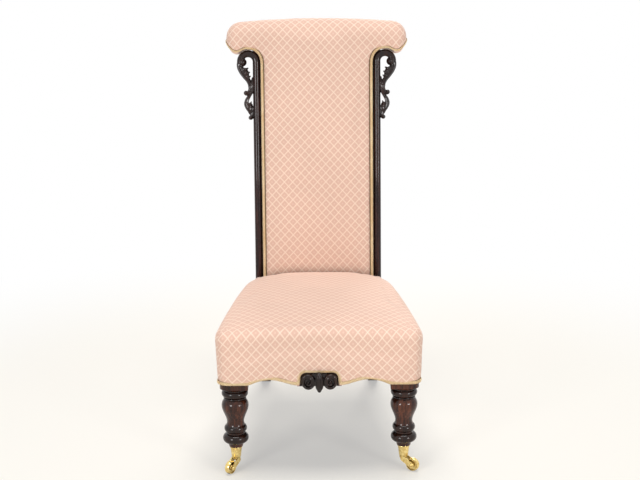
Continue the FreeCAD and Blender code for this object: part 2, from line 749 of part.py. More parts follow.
def scroll_bracket():
    """Crook, leaf, knobs and lower scroll, carved in one piece."""
    crook = tube([(CROOK_X - CROOK_RADIUS, CROOK_U), (CROOK_X, CROOK_U + CROOK_RADIUS),
                  (CROOK_X + CROOK_RADIUS, CROOK_U)], BEAD_RADIUS, UPWARD)
    bars = [crook, tube(LEAF, LEAF_RADIUS, DOWNWARD), tube(STEM, STEM_RADIUS, DOWNWARD),
            tube(LOWER_SCROLL, LOWER_SCROLL_RADIUS, LOWER_SCROLL_HEADING)]
    knobs = [knob(x, u, radius) for x, u, radius in [EYE] + KNOBS]
    roots = [box(POST_OUTER - 1, POST_OUTER + ROOT_REACH, 1 - ROOT_REACH, ROOT_REACH, low, high)
             for low, high in ROOTS]
    return leaned(fused(bars + knobs + roots))


def bracket_dowels():
    """Two dowels that join the right bracket to its post."""
    start_x = POST_OUTER - 0.7 * DOWEL_LENGTH
    return [leaned(Part.makeCylinder(DOWEL_RADIUS, DOWEL_LENGTH, Vector(start_x, 2.0, u), X_AXIS))
            for u in DOWEL_US]


# Carved ornament

def front_carving():
    """Two volutes and a ribbed bud, planted on the front rail."""
    back_face = LEG_Y - LEG_BLOCK / 2
    front_face = back_face - VOLUTE_DEPTH
    pieces = []
    for sign in (-1, 1):
        centre = Vector(sign * VOLUTE_X, front_face, VOLUTE_Z)
        pieces.append(Part.makeCylinder(VOLUTE_RADIUS, VOLUTE_DEPTH, centre, Y_AXIS))
        pieces.append(Part.makeTorus(VOLUTE_RADIUS - 4.0, 3.6, centre, Y_AXIS))
        pieces.append(Part.makeSphere(5.0, centre))
    low = BUD_Z - BUD_HALF
    high = BUD_Z + BUD_HALF
    shoulder = BUD_HALF * 0.45
    tip = BUD_RADIUS * 0.2
    waist = BUD_RADIUS * 0.78
    spindle = Outline(lambda r, z: Vector(r, 0, z), (0.0, low))
    spindle.line((tip, low))
    spindle.spline((waist, low + shoulder), (BUD_RADIUS, BUD_Z), (waist, high - shoulder), (tip, high))
    spindle.line((0.0, high))
    pieces.append(turned(spindle, 0.0, front_face))
    pieces.append(box(-6, 6, front_face, back_face, BUD_Z - BUD_HALF / 2, BUD_Z + BUD_HALF / 2))
    return fused(pieces)


# Seat upholstery

def notch(grow, y0, y1):
    """The round-shouldered opening in the cover round the ornament."""
    half = NOTCH_HALF + grow
    top = NOTCH_TOP_Z + grow
    radius = NOTCH_RADIUS + grow
    low = NOTCH_FOOT_Z - 20
    diagonal = radius * (1 - math.sqrt(0.5))
    outline = Outline(front, (-half, low))
    outline.line((-half, top - radius))
    outline.arc((-half + diagonal, top - diagonal), (-half + radius, top))
    outline.line((half - radius, top))
    outline.arc((half - diagonal, top - diagonal), (half, top - radius))
    outline.line((half, low))
    return extruded(outline.face(), Y_AXIS, y0, y1)


FRONT_ZONE_Y = SEAT_FRONT_Y + 20.0


def seat_trim():
    """Everything that the seat cover does not reach: below its lower edge, and the notch."""
    under = box(-300, 300, FRONT_ZONE_Y, 300, 100, RAIL_BOTTOM_Z)
    near = SEAT_FRONT_Y - 20
    return [under, notch(0.0, near, FRONT_ZONE_Y)] + below_front_edge(near, FRONT_ZONE_Y)


def seat_cover(obstacles):
    skin = seat_dome(0.0, RAIL_BOTTOM_Z - 30).cut(seat_dome(CLOTH, RAIL_BOTTOM_Z - 40, SEAT_REAR_Y + 20))
    return largest(cut(skin, seat_trim() + obstacles))


def seat_stuffing(obstacles):
    pad = seat_dome(CLOTH, RAIL_TOP_Z, SEAT_REAR_Y).cut(hessian_dome(0.0, RAIL_TOP_Z - 10))
    return largest(cut(pad, obstacles))


def seat_hessian(obstacles):
    skin = hessian_dome(0.0, RAIL_TOP_Z).cut(hessian_dome(HESSIAN_THICK, RAIL_TOP_Z - 10))
    return largest(cut(skin, obstacles))


def seat_braid(obstacles):
    """Braid along the seat's lower edge and round the ornament."""
    near = SEAT_FRONT_Y - 20
    ring = seat_prism(-BRAID_THICK, RAIL_BOTTOM_Z - 30, RAIL_TOP_Z)
    ring = ring.cut(seat_prism(0.0, RAIL_BOTTOM_Z - 40, RAIL_TOP_Z + 10, SEAT_REAR_Y + 20))
    right, left = front_band(0.0, BRAID_WIDTH, near, FRONT_ZONE_Y)
    sides = box(-300, 300, FRONT_ZONE_Y, 300, RAIL_BOTTOM_Z, RAIL_BOTTOM_Z + BRAID_WIDTH)
    arch = notch(BRAID_WIDTH, SEAT_FRONT_Y - BRAID_THICK, SEAT_FRONT_Y)
    arch = cut(arch, [notch(0.0, near, FRONT_ZONE_Y), box(-60, 60, near, FRONT_ZONE_Y, 150, NOTCH_FOOT_Z)])
    strip = ring.common(fused([right, left, sides]))
    return largest(cut(strip.fuse(arch).removeSplitter(), obstacles))


def seat_webbing_lengthwise():
    front_y = LEG_Y - LEG_BLOCK / 2 + RAIL_LIP + 1
    rear_y = back_y(REAR_REBATE_Q, REBATE_Z) - 4
    half = WEB_WIDTH / 2
    return Part.makeCompound([box(x - half, x + half, front_y, rear_y, REBATE_Z - WEB_THICK, REBATE_Z)
                              for x in WEB_XS])


def seat_webbing_crosswise():
    half = WEB_WIDTH / 2
    inset = RAIL_INSET + RAIL_LIP + 1
    straps = []
    for y in WEB_YS:
        front_half = side_x(y - half, inset)
        rear_half = side_x(y + half, inset)
        corners = [(front_half, y - half), (rear_half, y + half),
                   (-rear_half, y + half), (-front_half, y - half)]
        straps.append(polygon_prism(corners, REBATE_Z - 2 * WEB_THICK, REBATE_Z - WEB_THICK))
    return Part.makeCompound(straps)


def spring_coil():
    """An hourglass spring of half turns, each rising a little and meeting the next along Y."""
    points = []
    for i in range(SPRING_HALF_TURNS + 1):
        share = i / SPRING_HALF_TURNS
        radius = SPRING_WAIST + (SPRING_RADIUS - SPRING_WAIST) * (2 * share - 1) ** 2
        points.append(Vector(radius * (-1) ** i, 0, SPRING_HEIGHT * share))
    ring = Part.Face(Part.Wire(Part.makeCircle(SPRING_WIRE, points[0], Y_AXIS)))
    return tangent_arcs(points, Y_AXIS).makePipe(ring)


def seat_springs():
    """Five coil springs, standing where the straps cross."""
    coil = spring_coil()
    places = [(x, y) for x in (WEB_XS[0], WEB_XS[2]) for y in (WEB_YS[0], WEB_YS[2])]
    places.append((WEB_XS[1], WEB_YS[1]))
    springs = []
    for x, y in places:
        spring = coil.copy()
        spring.translate(Vector(x, y, REBATE_Z + SPRING_WIRE + 0.2))
        springs.append(spring)
    return Part.makeCompound(springs)


DUST_THICK = 1.0
DUST_Z = REBATE_Z - 2 * WEB_THICK - DUST_THICK
TACK_DOME = 5.0
TACK_HEAD_THICK = 1.4
TACK_SHANK = 0.9
TACK_POINT = 0.3
TACK_LENGTH = 11.0


def dust_corners(inset):
    front_y = LEG_Y - LEG_BLOCK / 2 + RAIL_LIP + 1 + inset
    rear_y = back_y(0.0, DUST_Z) - 1 - inset
    side_inset = RAIL_INSET + RAIL_LIP + 1 + inset
    return [(side_x(front_y, side_inset), front_y), (side_x(rear_y, side_inset), rear_y),
            (-side_x(rear_y, side_inset), rear_y), (-side_x(front_y, side_inset), front_y)]


def dust_cover(obstacles):
    return largest(cut(polygon_prism(dust_corners(0.0), DUST_Z, DUST_Z + DUST_THICK), obstacles))


def tack_places():
    """Points along the edge of the dust cover, clear of the legs."""
    right_front, right_rear, left_rear, left_front = dust_corners(4.5)
    reach = LEG_X - LEG_BLOCK / 2 - 8
    places = [(x, left_front[1]) for x in spread(-reach, reach, 8)]
    for y in spread(LEG_Y + LEG_BLOCK / 2 + 12, right_rear[1] - 8, 9):
        x = on_line(right_front, right_rear, y=y)[0]
        places += [(x, y), (-x, y)]
    return places


def spread(low, high, count):
    return [low + (high - low) * i / (count - 1) for i in range(count)]


def dust_cover_tacks():
    """Domed tacks, driven up through the dust cover into the rails."""
    tacks = []
    for x, y in tack_places():
        dome = Part.makeSphere(TACK_DOME, Vector(x, y, DUST_Z + TACK_DOME - TACK_HEAD_THICK))
        below = box(x - TACK_DOME, x + TACK_DOME, y - TACK_DOME, y + TACK_DOME, RAIL_BOTTOM_Z, DUST_Z)
        head = dome.common(below)
        shank = Part.makeCone(TACK_SHANK, TACK_POINT, TACK_LENGTH, Vector(x, y, DUST_Z), Z_AXIS)
        tacks.append(head.fuse(shank).removeSplitter())
    return Part.makeCompound(tacks)


# Back upholstery, drawn in the back's frame

def back_webbing_cross():
    half = WEB_WIDTH / 2
    straps = [box(-LEDGE_HALF + 2, LEDGE_HALF - 2, -WEB_THICK, 0.0, u - half, u + half)
              for u in spread(*BACK_WEB_US, BACK_WEB_COUNT)]
    return leaned(Part.makeCompound(straps))


def back_webbing_upright():
    half = WEB_WIDTH / 2
    straps = [box(x - half, x + half, -2 * WEB_THICK, -WEB_THICK, PAD_LOW_U, PAD_HIGH_U - 6)
              for x in (-BACK_WEB_X, BACK_WEB_X)]
    return leaned(Part.makeCompound(straps))


def back_hessian():
    return leaned(box(-LEDGE_HALF + 1, LEDGE_HALF - 1, LEDGE_Q, -2 * WEB_THICK, PAD_LOW_U, PAD_HIGH_U))


def panel_section(grow, edge):
    """Half-crowned section across the padded back, with an optional flat ledge at each edge."""
    half = PAD_HALF + grow
    shoulder = PAD_SHOULDER_HALF + grow * 0.4
    outline = Outline(plan, (-half - edge, LEDGE_Q))
    if edge:
        outline.line((-half - edge, LEDGE_Q - grow), (-half, LEDGE_Q - grow))
    outline.arc((-half + 5.0, -14.5 - grow), (-shoulder, PAD_SHOULDER_Q - grow))
    outline.arc((0.0, PAD_CROWN_Q - grow), (shoulder, PAD_SHOULDER_Q - grow))
    outline.arc((half - 5.0, -14.5 - grow), (half, LEDGE_Q - grow if edge else LEDGE_Q))
    if edge:
        outline.line((half + edge, LEDGE_Q - grow), (half + edge, LEDGE_Q))
    return outline.face()


def panel(grow, edge, low_u):
    return extruded(panel_section(grow, edge), Z_AXIS, low_u, PAD_HIGH_U)


def crest_roll(grow):
    """The padded bar of the T, with soft edges."""
    q0 = CREST_FRONT_Q - grow
    q1 = CREST_REAR_Q + grow
    u0 = CREST_LOW_U - grow
    u1 = CREST_HIGH_U + grow
    half = CREST_HALF + grow
    outline = Outline(front, (-half, u0))
    outline.line((-half, CREST_END_U + grow)).arc((0.0, u1), (half, CREST_END_U + grow)).line((half, u0))
    roll = extruded(outline.face(), Y_AXIS, q0, q1)
    long_edges = [e for e in roll.Edges if e.BoundBox.XLength > half]
    middle = (u0 + u1) / 2
    roll = roll.makeFillet(CREST_TOP_RADIUS, [e for e in long_edges if e.CenterOfMass.z > middle])
    sharp = [e for e in roll.Edges if e.BoundBox.XLength > half and abs(e.CenterOfMass.z - u0) < 0.1
             and min(abs(e.CenterOfMass.y - q0), abs(e.CenterOfMass.y - q1)) < 0.1]
    roll = roll.makeFillet(CREST_BOTTOM_RADIUS, sharp)
    ends = [e for e in roll.Edges if abs(abs(e.CenterOfMass.x) - half) < 0.1 and e.BoundBox.XLength < 0.1]
    return roll.makeFillet(CREST_END_RADIUS, ends)


def wing(grow, radius, q0, q1):
    """Padding that fills the corner between the back, the crook and the T, on the right."""
    arc_radius = radius - grow
    lean = arc_radius * math.sqrt(0.5)
    outline = Outline(front, (CROOK_X - arc_radius, CROOK_U))
    outline.arc((CROOK_X - lean, CROOK_U + lean), (CROOK_X, CROOK_U + arc_radius))
    outline.line((CROOK_X, PAD_HIGH_U - 6), (PAD_HALF - 8, PAD_HIGH_U - 6), (PAD_HALF - 8, CROOK_U))
    return extruded(outline.face(), Y_AXIS, q0, q1)


def padded_wings(grow):
    right = wing(grow, WING_RADIUS + 8, CREST_FRONT_Q + 6 - grow, LEDGE_Q)
    return [right, mirrored(right)]


def wing_ledges():
    right = wing(0.0, WING_RADIUS, LEDGE_Q - CLOTH, LEDGE_Q)
    return [right, mirrored(right)]


def back_stuffing():
    return leaned(panel(0.0, 0.0, PAD_LOW_U))


def crest_stuffing(obstacles):
    pad = fused([crest_roll(0.0)] + padded_wings(0.0))
    return largest(cut(leaned(pad), obstacles))


def back_cover(obstacles):
    """One continuous cloth over the padded back and the T."""
    edge = LEDGE_HALF - PAD_HALF - CLOTH
    outer = fused([crest_roll(CLOTH), panel(CLOTH, edge, PAD_LOW_U)] + padded_wings(CLOTH) + wing_ledges())
    inner = [crest_roll(0.0), panel(0.0, 0.0, PAD_LOW_U - 10)] + padded_wings(0.0)
    return largest(cut(leaned(cut(outer, inner)), obstacles))


OUTSIDE_TOP_U = CREST_LOW_U - CLOTH - CLEAR
OUTSIDE_HALF = POST_INNER + REAR_REBATE_WIDTH - CLEAR
OUTSIDE_THICK = 1.2


def outside_back():
    """The cloth on the back of the chair, let into a rebate in the posts."""
    q1 = REAR_REBATE_Q + OUTSIDE_THICK
    return leaned(box(-OUTSIDE_HALF, OUTSIDE_HALF, REAR_REBATE_Q, q1, LEG_BREAK_U + 1, OUTSIDE_TOP_U))


def back_braid_rear():
    """Braid round the sides and foot of the outside-back cloth."""
    q0 = REAR_REBATE_Q + OUTSIDE_THICK
    outer = box(-OUTSIDE_HALF, OUTSIDE_HALF, q0, q0 + BRAID_THICK, LEG_BREAK_U + 1, OUTSIDE_TOP_U)
    inner_half = OUTSIDE_HALF - BRAID_WIDTH
    return leaned(outer.cut(box(-inner_half, inner_half, q0 - 1, q0 + 5, LEG_BREAK_U + 1 + BRAID_WIDTH, 700)))


def back_braid_front(obstacles):
    """Braid up each side of the padded back and round the crooks."""
    q1 = LEDGE_Q - CLOTH
    q0 = q1 - BRAID_THICK
    strip = box(LEDGE_HALF - BRAID_WIDTH, LEDGE_HALF, q0, q1, BEAD_LOW_U, CROOK_U)
    ring = wing(0.0, WING_RADIUS, q0, q1).cut(wing(0.0, WING_RADIUS + BRAID_WIDTH, q0 - 1, q1 + 1))
    reach = box(CROOK_X - WING_RADIUS, CROOK_X, q0, q1, CROOK_U, CROOK_U + WING_RADIUS + BRAID_WIDTH)
    right = strip.fuse(ring.common(reach)).removeSplitter()
    solids = []
    for shape in (right, mirrored(right)):
        solids.append(largest(cut(leaned(shape), obstacles)))
    return Part.makeCompound(solids)


def largest(shape):
    """The main solid of a result, without crumbs."""
    return max(shape.Solids, key=lambda solid: solid.Volume)


# The whole chair

def build_frame():
    """Wooden frame, cut so that every joint fits face to face."""
    nodes = {}
    post_body = rear_post_body()
    side_rail = side_seat_rail(post_body)
    front_rail = front_seat_rail()
    rear_rail = rear_seat_rail()
    lower_rail = back_lower_rail()
    beam = crest_rail()
    bracket = scroll_bracket().cut(post_body)
    dowels = bracket_dowels()
    screws = corner_screws()
    all_screws = screws + [mirrored(s) for s in screws]
    leg = cut(front_leg(), [front_rail, side_rail, caster_screws()])
    post = cut(post_body, [side_rail, rear_rail, lower_rail] + dowels)
    bracket = cut(bracket, dowels)
    blocks = [cut(front_corner_block(), screws), cut(rear_corner_block(post_body), screws)]
    side_rail = cut(side_rail, screws)
    for name in SIDES:
        nodes["front_leg_" + name] = sided(leg, name)
        nodes["rear_post_" + name] = sided(post, name)
        nodes["side_seat_rail_" + name] = sided(side_rail, name)
        nodes["scroll_bracket_" + name] = sided(bracket, name)
        nodes["caster_cup_" + name] = sided(cut(caster_cup(), [caster_screws()]), name)
        nodes["caster_screws_" + name] = sided(caster_screws(), name)
    nodes["front_seat_rail"] = cut(front_rail, all_screws)
    nodes["rear_seat_rail"] = cut(rear_rail, all_screws)
    nodes["back_lower_rail"] = lower_rail
    nodes["crest_rail"] = cut(beam, [post_body, mirrored(post_body)])
    nodes["crest_board"] = crest_board()
    nodes["corner_blocks"] = Part.makeCompound(blocks + [mirrored(b) for b in blocks])
    nodes["corner_block_screws"] = Part.makeCompound(all_screws)
    nodes["bracket_dowels"] = Part.makeCompound(dowels + [mirrored(d) for d in dowels])
    nodes["front_carving"] = front_carving()
    return nodes


def build_casters():
    nodes = {}
    for name in SIDES:
        nodes["caster_horn_" + name] = trailing(cut(caster_horn(), [caster_pin(), caster_axle()]), name)
        nodes["caster_pin_" + name] = trailing(caster_pin(), name)
        nodes["caster_washer_" + name] = trailing(caster_washer(), name)
        nodes["caster_axle_" + name] = trailing(caster_axle(), name)
        nodes["caster_wheel_" + name] = trailing(caster_wheel(), name)
    return nodes


def build_back(frame):
    """Padded back and T, fitted round the finished frame."""
    posts = [frame["rear_post_left"], frame["rear_post_right"]]
    brackets = [frame["scroll_bracket_left"], frame["scroll_bracket_right"]]
    carriers = posts + [frame["crest_rail"], frame["crest_board"]]
    nodes = {"back_webbing_cross": back_webbing_cross(), "back_webbing_upright": back_webbing_upright()}
    nodes["back_hessian"] = back_hessian()
    nodes["back_stuffing"] = back_stuffing()
    layers = list(nodes.values())
    nodes["crest_stuffing"] = crest_stuffing(carriers + brackets + layers)
    nodes["back_cover"] = back_cover(carriers + brackets + layers)
    nodes["outside_back"] = outside_back()
    nodes["back_braid_rear"] = back_braid_rear()
    nodes["back_braid_front"] = back_braid_front(posts + brackets + [nodes["back_cover"]])
    return nodes


def build_seat(frame, back):
    """Springs, stuffing and cover of the seat, fitted round the frame and the back."""
    posts = [frame["rear_post_left"], frame["rear_post_right"]]
    edge = LEDGE_HALF - PAD_HALF - CLOTH
    back_space = leaned(panel(CLOTH + CLEAR, edge, PAD_LOW_U - CLEAR))
    behind = leaned(box(-POST_OUTER - 40, POST_OUTER + 40, LEDGE_Q - 0.2, 80.0, -200.0, 200.0))
    obstacles = posts + [back_space, behind, back["back_braid_front"]]
    tacks = dust_cover_tacks()
    nodes = {"seat_webbing_lengthwise": seat_webbing_lengthwise().cut(tacks),
             "seat_webbing_crosswise": seat_webbing_crosswise().cut(tacks),
             "seat_springs": seat_springs(),
             "seat_hessian": seat_hessian(obstacles),
             "seat_stuffing": seat_stuffing(obstacles),
             "seat_cover": seat_cover(obstacles),
             "seat_braid": seat_braid(obstacles),
             "dust_cover_tacks": tacks}
    legs = [frame["front_leg_left"], frame["front_leg_right"]]
    nodes["dust_cover"] = dust_cover(legs + posts + [tacks])
    for name in ("front_seat_rail", "side_seat_rail_left", "side_seat_rail_right"):
        frame[name] = frame[name].cut(tacks)
    return nodes


def main():
    os.makedirs("parts", exist_ok=True)
    frame = build_frame()
    back = build_back(frame)
    seat = build_seat(frame, back)
    nodes = {**frame, **back, **seat, **build_casters()}
    for name, shape in nodes.items():
        shape.exportStep("parts/" + name + ".step")
        print(name, len(shape.Solids), round(shape.Volume), shape.isValid())


main()
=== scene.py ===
"""Looks of an upholstered prie-dieu chair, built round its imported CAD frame.

Metres throughout. The chair faces -Y, +Z is up, and left and right are the viewer's.
"""

import json
import logging
import math
from dataclasses import dataclass, field
from enum import Enum, IntEnum
from typing import Dict, List, Sequence, Tuple, Union

import bmesh
import bpy
import numpy as np
from mathutils import Matrix, Vector, noise
from mathutils.bvhtree import BVHTree

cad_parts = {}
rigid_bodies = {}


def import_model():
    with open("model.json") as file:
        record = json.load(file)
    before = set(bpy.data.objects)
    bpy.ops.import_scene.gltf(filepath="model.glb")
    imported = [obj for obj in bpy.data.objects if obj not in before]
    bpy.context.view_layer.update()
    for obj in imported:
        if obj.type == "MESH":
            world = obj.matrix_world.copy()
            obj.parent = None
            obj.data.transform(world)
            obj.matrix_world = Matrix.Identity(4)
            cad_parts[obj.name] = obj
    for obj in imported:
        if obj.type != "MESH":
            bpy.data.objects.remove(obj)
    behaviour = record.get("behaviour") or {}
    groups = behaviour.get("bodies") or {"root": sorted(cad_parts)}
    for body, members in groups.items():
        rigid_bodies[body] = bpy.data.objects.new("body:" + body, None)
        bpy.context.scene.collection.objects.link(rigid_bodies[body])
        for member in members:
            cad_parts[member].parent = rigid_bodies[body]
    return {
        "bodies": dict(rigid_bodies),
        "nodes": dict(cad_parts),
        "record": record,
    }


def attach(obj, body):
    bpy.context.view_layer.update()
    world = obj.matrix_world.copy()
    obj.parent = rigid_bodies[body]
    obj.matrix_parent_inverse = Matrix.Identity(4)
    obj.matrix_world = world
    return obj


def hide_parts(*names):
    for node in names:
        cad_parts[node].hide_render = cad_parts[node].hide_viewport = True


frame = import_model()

log = logging.getLogger("prie_dieu")

Colour = Tuple[float, float, float, float]
Point = Tuple[float, float, float]
Real = Union[float, np.ndarray]
Route = Tuple[Tuple[float, ...], ...]
# A form is points with the faces between them, and a run is points with the ways they face.
Form = Tuple[np.ndarray, List[Sequence[int]]]
Run = Tuple[np.ndarray, np.ndarray]
Socket = bpy.types.NodeSocket
Piece = bpy.types.Object

CLOTH_UV = "cloth"
ROOT_BODY = "chair_frame"


class Side(Enum):
    """The viewer's left or right, as the sign of x."""

    LEFT = -1.0
    RIGHT = 1.0

    @property
    def label(self) -> str:
        """The word that node names end in."""
        return self.name.lower()


class Grain(Enum):
    """Direction in which the grain of a piece of wood runs, as stretch along x, y and z."""

    UPRIGHT = (1.0, 1.0, 0.05)
    ACROSS = (0.05, 1.0, 1.0)
    LENGTHWISE = (1.0, 0.05, 1.0)

    def stretch(self, scale: float) -> List[float]:
        """Repeats per metre along x, y and z of a pattern that follows the grain."""
        return [scale * share for share in self.value]


class CoverPanel(IntEnum):
    """Part of the seat cover that a face belongs to."""

    FRONT = 0
    SIDE = 1
    TOP = 2


def srgb(red: int, green: int, blue: int) -> Colour:
    """A colour as it looks on a screen, in linear light.

    Args:
        red, green, blue: Levels from 0 to 255.

    Returns:
        Linear red, green and blue, with full alpha.
    """
    def linear(level: int) -> float:
        """One channel in linear light."""
        share = level / 255.0
        return share / 12.92 if share <= 0.04045 else ((share + 0.055) / 1.055) ** 2.4

    return linear(red), linear(green), linear(blue), 1.0


class Bench:
    """A node tree, with short ways to add nodes and feed them."""

    def __init__(self, tree: bpy.types.NodeTree) -> None:
        """Takes a tree and empties it."""
        self.tree = tree
        tree.nodes.clear()

    def node(self, kind: str, **settings: object) -> bpy.types.Node:
        """Adds a node and sets its properties.

        Args:
            kind: The node's type name.
            settings: Properties of the node by name.

        Returns:
            The new node.
        """
        made = self.tree.nodes.new(kind)
        for key, value in settings.items():
            setattr(made, key, value)
        return made

    def feed(self, target: Socket, value: object) -> None:
        """Links a socket to an input, or sets the input's own value."""
        if isinstance(value, Socket):
            self.tree.links.new(value, target)
        else:
            target.default_value = value

    def run(self, kind: str, inputs: Dict[object, object], **settings: object) -> Socket:
        """Adds a node and feeds it.

        Args:
            kind: The node's type name.
            inputs: What its inputs get, by their names or numbers.
            settings: Properties of the node by name.

        Returns:
            The node's first output.
        """
        made = self.node(kind, **settings)
        for key, value in inputs.items():
            self.feed(made.inputs[key], value)
        return made.outputs[0]


class Graph(Bench):
    """A material's node tree, with the patterns that finishes are made of."""

    def __init__(self, name: str) -> None:
        """Starts a material that holds only a principled shader."""
        self.material = bpy.data.materials.new(name)
        self.material.use_nodes = True
        super().__init__(self.material.node_tree)
        self.shader = self.node("ShaderNodeBsdfPrincipled")
        self.output = self.node("ShaderNodeOutputMaterial")
        self.feed(self.output.inputs["Surface"], self.shader.outputs[0])

    def set(self, **inputs: object) -> None:
        """Sets or links inputs of the shader, with underscores for spaces in their names."""
        for key, value in inputs.items():
            self.feed(self.shader.inputs[key.replace("_", " ")], value)

    def math(self, operation: str, first: object, second: object = 0.0) -> Socket:
        """One arithmetic step on sockets or numbers."""
        return self.run("ShaderNodeMath", {0: first, 1: second}, operation=operation)

    def weigh(self, first: Socket, share: float, second: Socket, other: float) -> Socket:
        """The sum of two patterns, each times its own share."""
        return self.math("ADD", self.math("MULTIPLY", first, share), self.math("MULTIPLY", second, other))

    def mix(self, factor: object, first: object, second: object, blend: str = "MIX") -> Socket:
        """Mixes two colours.

        Args:
            factor: Share of the second colour.
            first, second: Colours or sockets.
            blend: Name of the way they mix.

        Returns:
            The mixed colour's socket.
        """
        made = self.node("ShaderNodeMix", data_type="RGBA", blend_type=blend)
        self.feed(made.inputs["Factor"], factor)
        self.feed(made.inputs[6], first)
        self.feed(made.inputs[7], second)
        return made.outputs[2]

    def ramp(self, factor: Socket, stops: Sequence[Tuple[float, Colour]]) -> Socket:
        """A colour ramp.

        Args:
            factor: What the ramp reads.
            stops: Places from 0 to 1 with their colours.

        Returns:
            The colour's socket.
        """
        made = self.node("ShaderNodeValToRGB")
        marks = made.color_ramp.elements
        while len(marks) < len(stops):
            marks.new(0.5)
        for mark, (place, colour) in zip(marks, stops):
            mark.position = place
            mark.color = colour
        self.feed(made.inputs[0], factor)
        return made.outputs[0]

    def span(self, value: Socket, low: float, high: float, to_low: float = 0.0,
             to_high: float = 1.0) -> Socket:
        """Maps a range smoothly onto another.

        Args:
            value: What is mapped.
            low, high: The range that is read.
            to_low, to_high: What its ends become.

        Returns:
            The mapped value's socket.
        """
        ends = {"From Min": low, "From Max": high, "To Min": to_low, "To Max": to_high}
        return self.run("ShaderNodeMapRange", {"Value": value, **ends}, interpolation_type="SMOOTHSTEP")

    def place(self, scale: Sequence[float] = (1.0, 1.0, 1.0)) -> Socket:
        """Object coordinates, times a scale along x, y and z."""
        spot = self.node("ShaderNodeTexCoord").outputs["Object"]
        return self.run("ShaderNodeMapping", {"Vector": spot, "Scale": scale})

    def axes(self, vector: Socket) -> Sequence[Socket]:
        """The x, y and z of a vector."""
        made = self.node("ShaderNodeSeparateXYZ")
        self.feed(made.inputs[0], vector)
        return made.outputs

    def noise(self, vector: Socket, scale: float, detail: float = 3.0, warp: float = 0.0) -> Socket:
        """A noise pattern.

        Args:
            vector: Where it is read.
            scale: Its scale.
            detail: Number of finer layers.
            warp: How far it is distorted.

        Returns:
            The noise value's socket.
        """
        sizes = {"Scale": scale, "Detail": detail, "Distortion": warp}
        return self.run("ShaderNodeTexNoise", {"Vector": vector, **sizes})

    def exposure(self, distance: float) -> Socket:
        """How open a point is to its surroundings: low in cuts and corners."""
        made = self.node("ShaderNodeAmbientOcclusion", samples=6)
        made.inputs["Distance"].default_value = distance
        return made.outputs["AO"]

    def bump(self, height: Socket, distance: float, strength: float = 1.0) -> None:
        """Feeds the shader's normal from a height, up to a distance in metres."""
        sizes = {"Strength": strength, "Distance": distance}
        self.feed(self.shader.inputs["Normal"], self.run("ShaderNodeBump", {"Height": height, **sizes}))


@dataclass(frozen=True)
class Finish:
    """A finish that is made once as a material, under its own name."""

    name: str

    def material(self) -> bpy.types.Material:
        """The finish's material, made at its first use."""
        found = bpy.data.materials.get(self.name)
        return found or self.make(Graph(self.name))

    def make(self, graph: Graph) -> bpy.types.Material:
        """Builds the material's nodes.

        Args:
            graph: The new material's empty tree.

        Returns:
            The finished material.
        """
        raise NotImplementedError


@dataclass(frozen=True)
class TrellisFabric(Finish):
    """Salmon furnishing cloth, woven with a cream diamond trellis."""

    name: str = "trellis_cloth"
    lozenge: Tuple[float, float] = (0.0208, 0.0222)
    line_share: float = 0.088
    yarn_pitch: float = 0.0010
    ground: Colour = srgb(234, 197, 178)
    shade: Colour = srgb(229, 189, 169)
    heart: Colour = srgb(237, 203, 185)
    thread: Colour = srgb(248, 222, 203)

    def make(self, graph: Graph) -> bpy.types.Material:
        """Trellis, yarns, painted shade in creases and at seams, and a soft sheen.

        Args:
            graph: The new material's empty tree.

        Returns:
            The finished material.
        """
        across, along, _ = graph.axes(graph.node("ShaderNodeUVMap", uv_map=CLOTH_UV).outputs[0])
        wide = graph.math("DIVIDE", across, self.lozenge[0])
        tall = graph.math("DIVIDE", along, self.lozenge[1])
        families = []
        for operation in ("ADD", "SUBTRACT"):
            turn = graph.math("FRACT", graph.math(operation, wide, tall))
            families.append(graph.math("ABSOLUTE", graph.math("SUBTRACT", turn, 0.5)))
        cell = graph.math("MAXIMUM", *families)
        edge = 0.5 - self.line_share / 2
        line = graph.span(cell, edge - 0.035, edge + 0.01)
        inner = graph.ramp(graph.math("MULTIPLY", cell, 2.0), [
            (0.10, self.heart), (0.34, self.shade), (0.62, self.shade), (0.86, self.ground)])
        drift = graph.span(graph.noise(graph.place(), 7.0, 2.0), 0.3, 0.7, 0.965, 1.015)
        slub = graph.noise(graph.place((900.0, 900.0, 250.0)), 1.0, 1.0)
        tone_and_crease_shade = graph.math("ADD", drift, graph.span(slub, 0.3, 0.7, -0.03, 0.03))
        # Painted shade: the cloth darkens to half its colour in creases, at seams and beside the braid, by
        # how closed in each point is.
        tone_and_crease_shade = graph.math("MULTIPLY", tone_and_crease_shade, graph.span(graph.exposure(0.035), 0.2, 0.85, 0.5, 1.0))
        tint_and_crease_shade = graph.run("ShaderNodeCombineXYZ", {0: tone_and_crease_shade, 1: tone_and_crease_shade, 2: tone_and_crease_shade})
        colour = graph.mix(1.0, graph.mix(line, inner, self.thread), tint_and_crease_shade, "MULTIPLY")
        yarns = []
        for axis in (across, along):
            wave = graph.math("SINE", graph.math("MULTIPLY", axis, 2 * math.pi / self.yarn_pitch))
            yarns.append(graph.math("MULTIPLY", wave, 0.25))
        height = graph.math("ADD", graph.math("MULTIPLY", *yarns), graph.math("MULTIPLY", line, 0.5))
        graph.set(Base_Color=colour, Roughness=graph.span(line, 0.0, 1.0, 0.86, 0.62))
        graph.set(Specular_IOR_Level=0.3, Sheen_Weight=0.22, Sheen_Roughness=0.45)
        graph.bump(height, 0.00035, 0.7)
        return graph.material


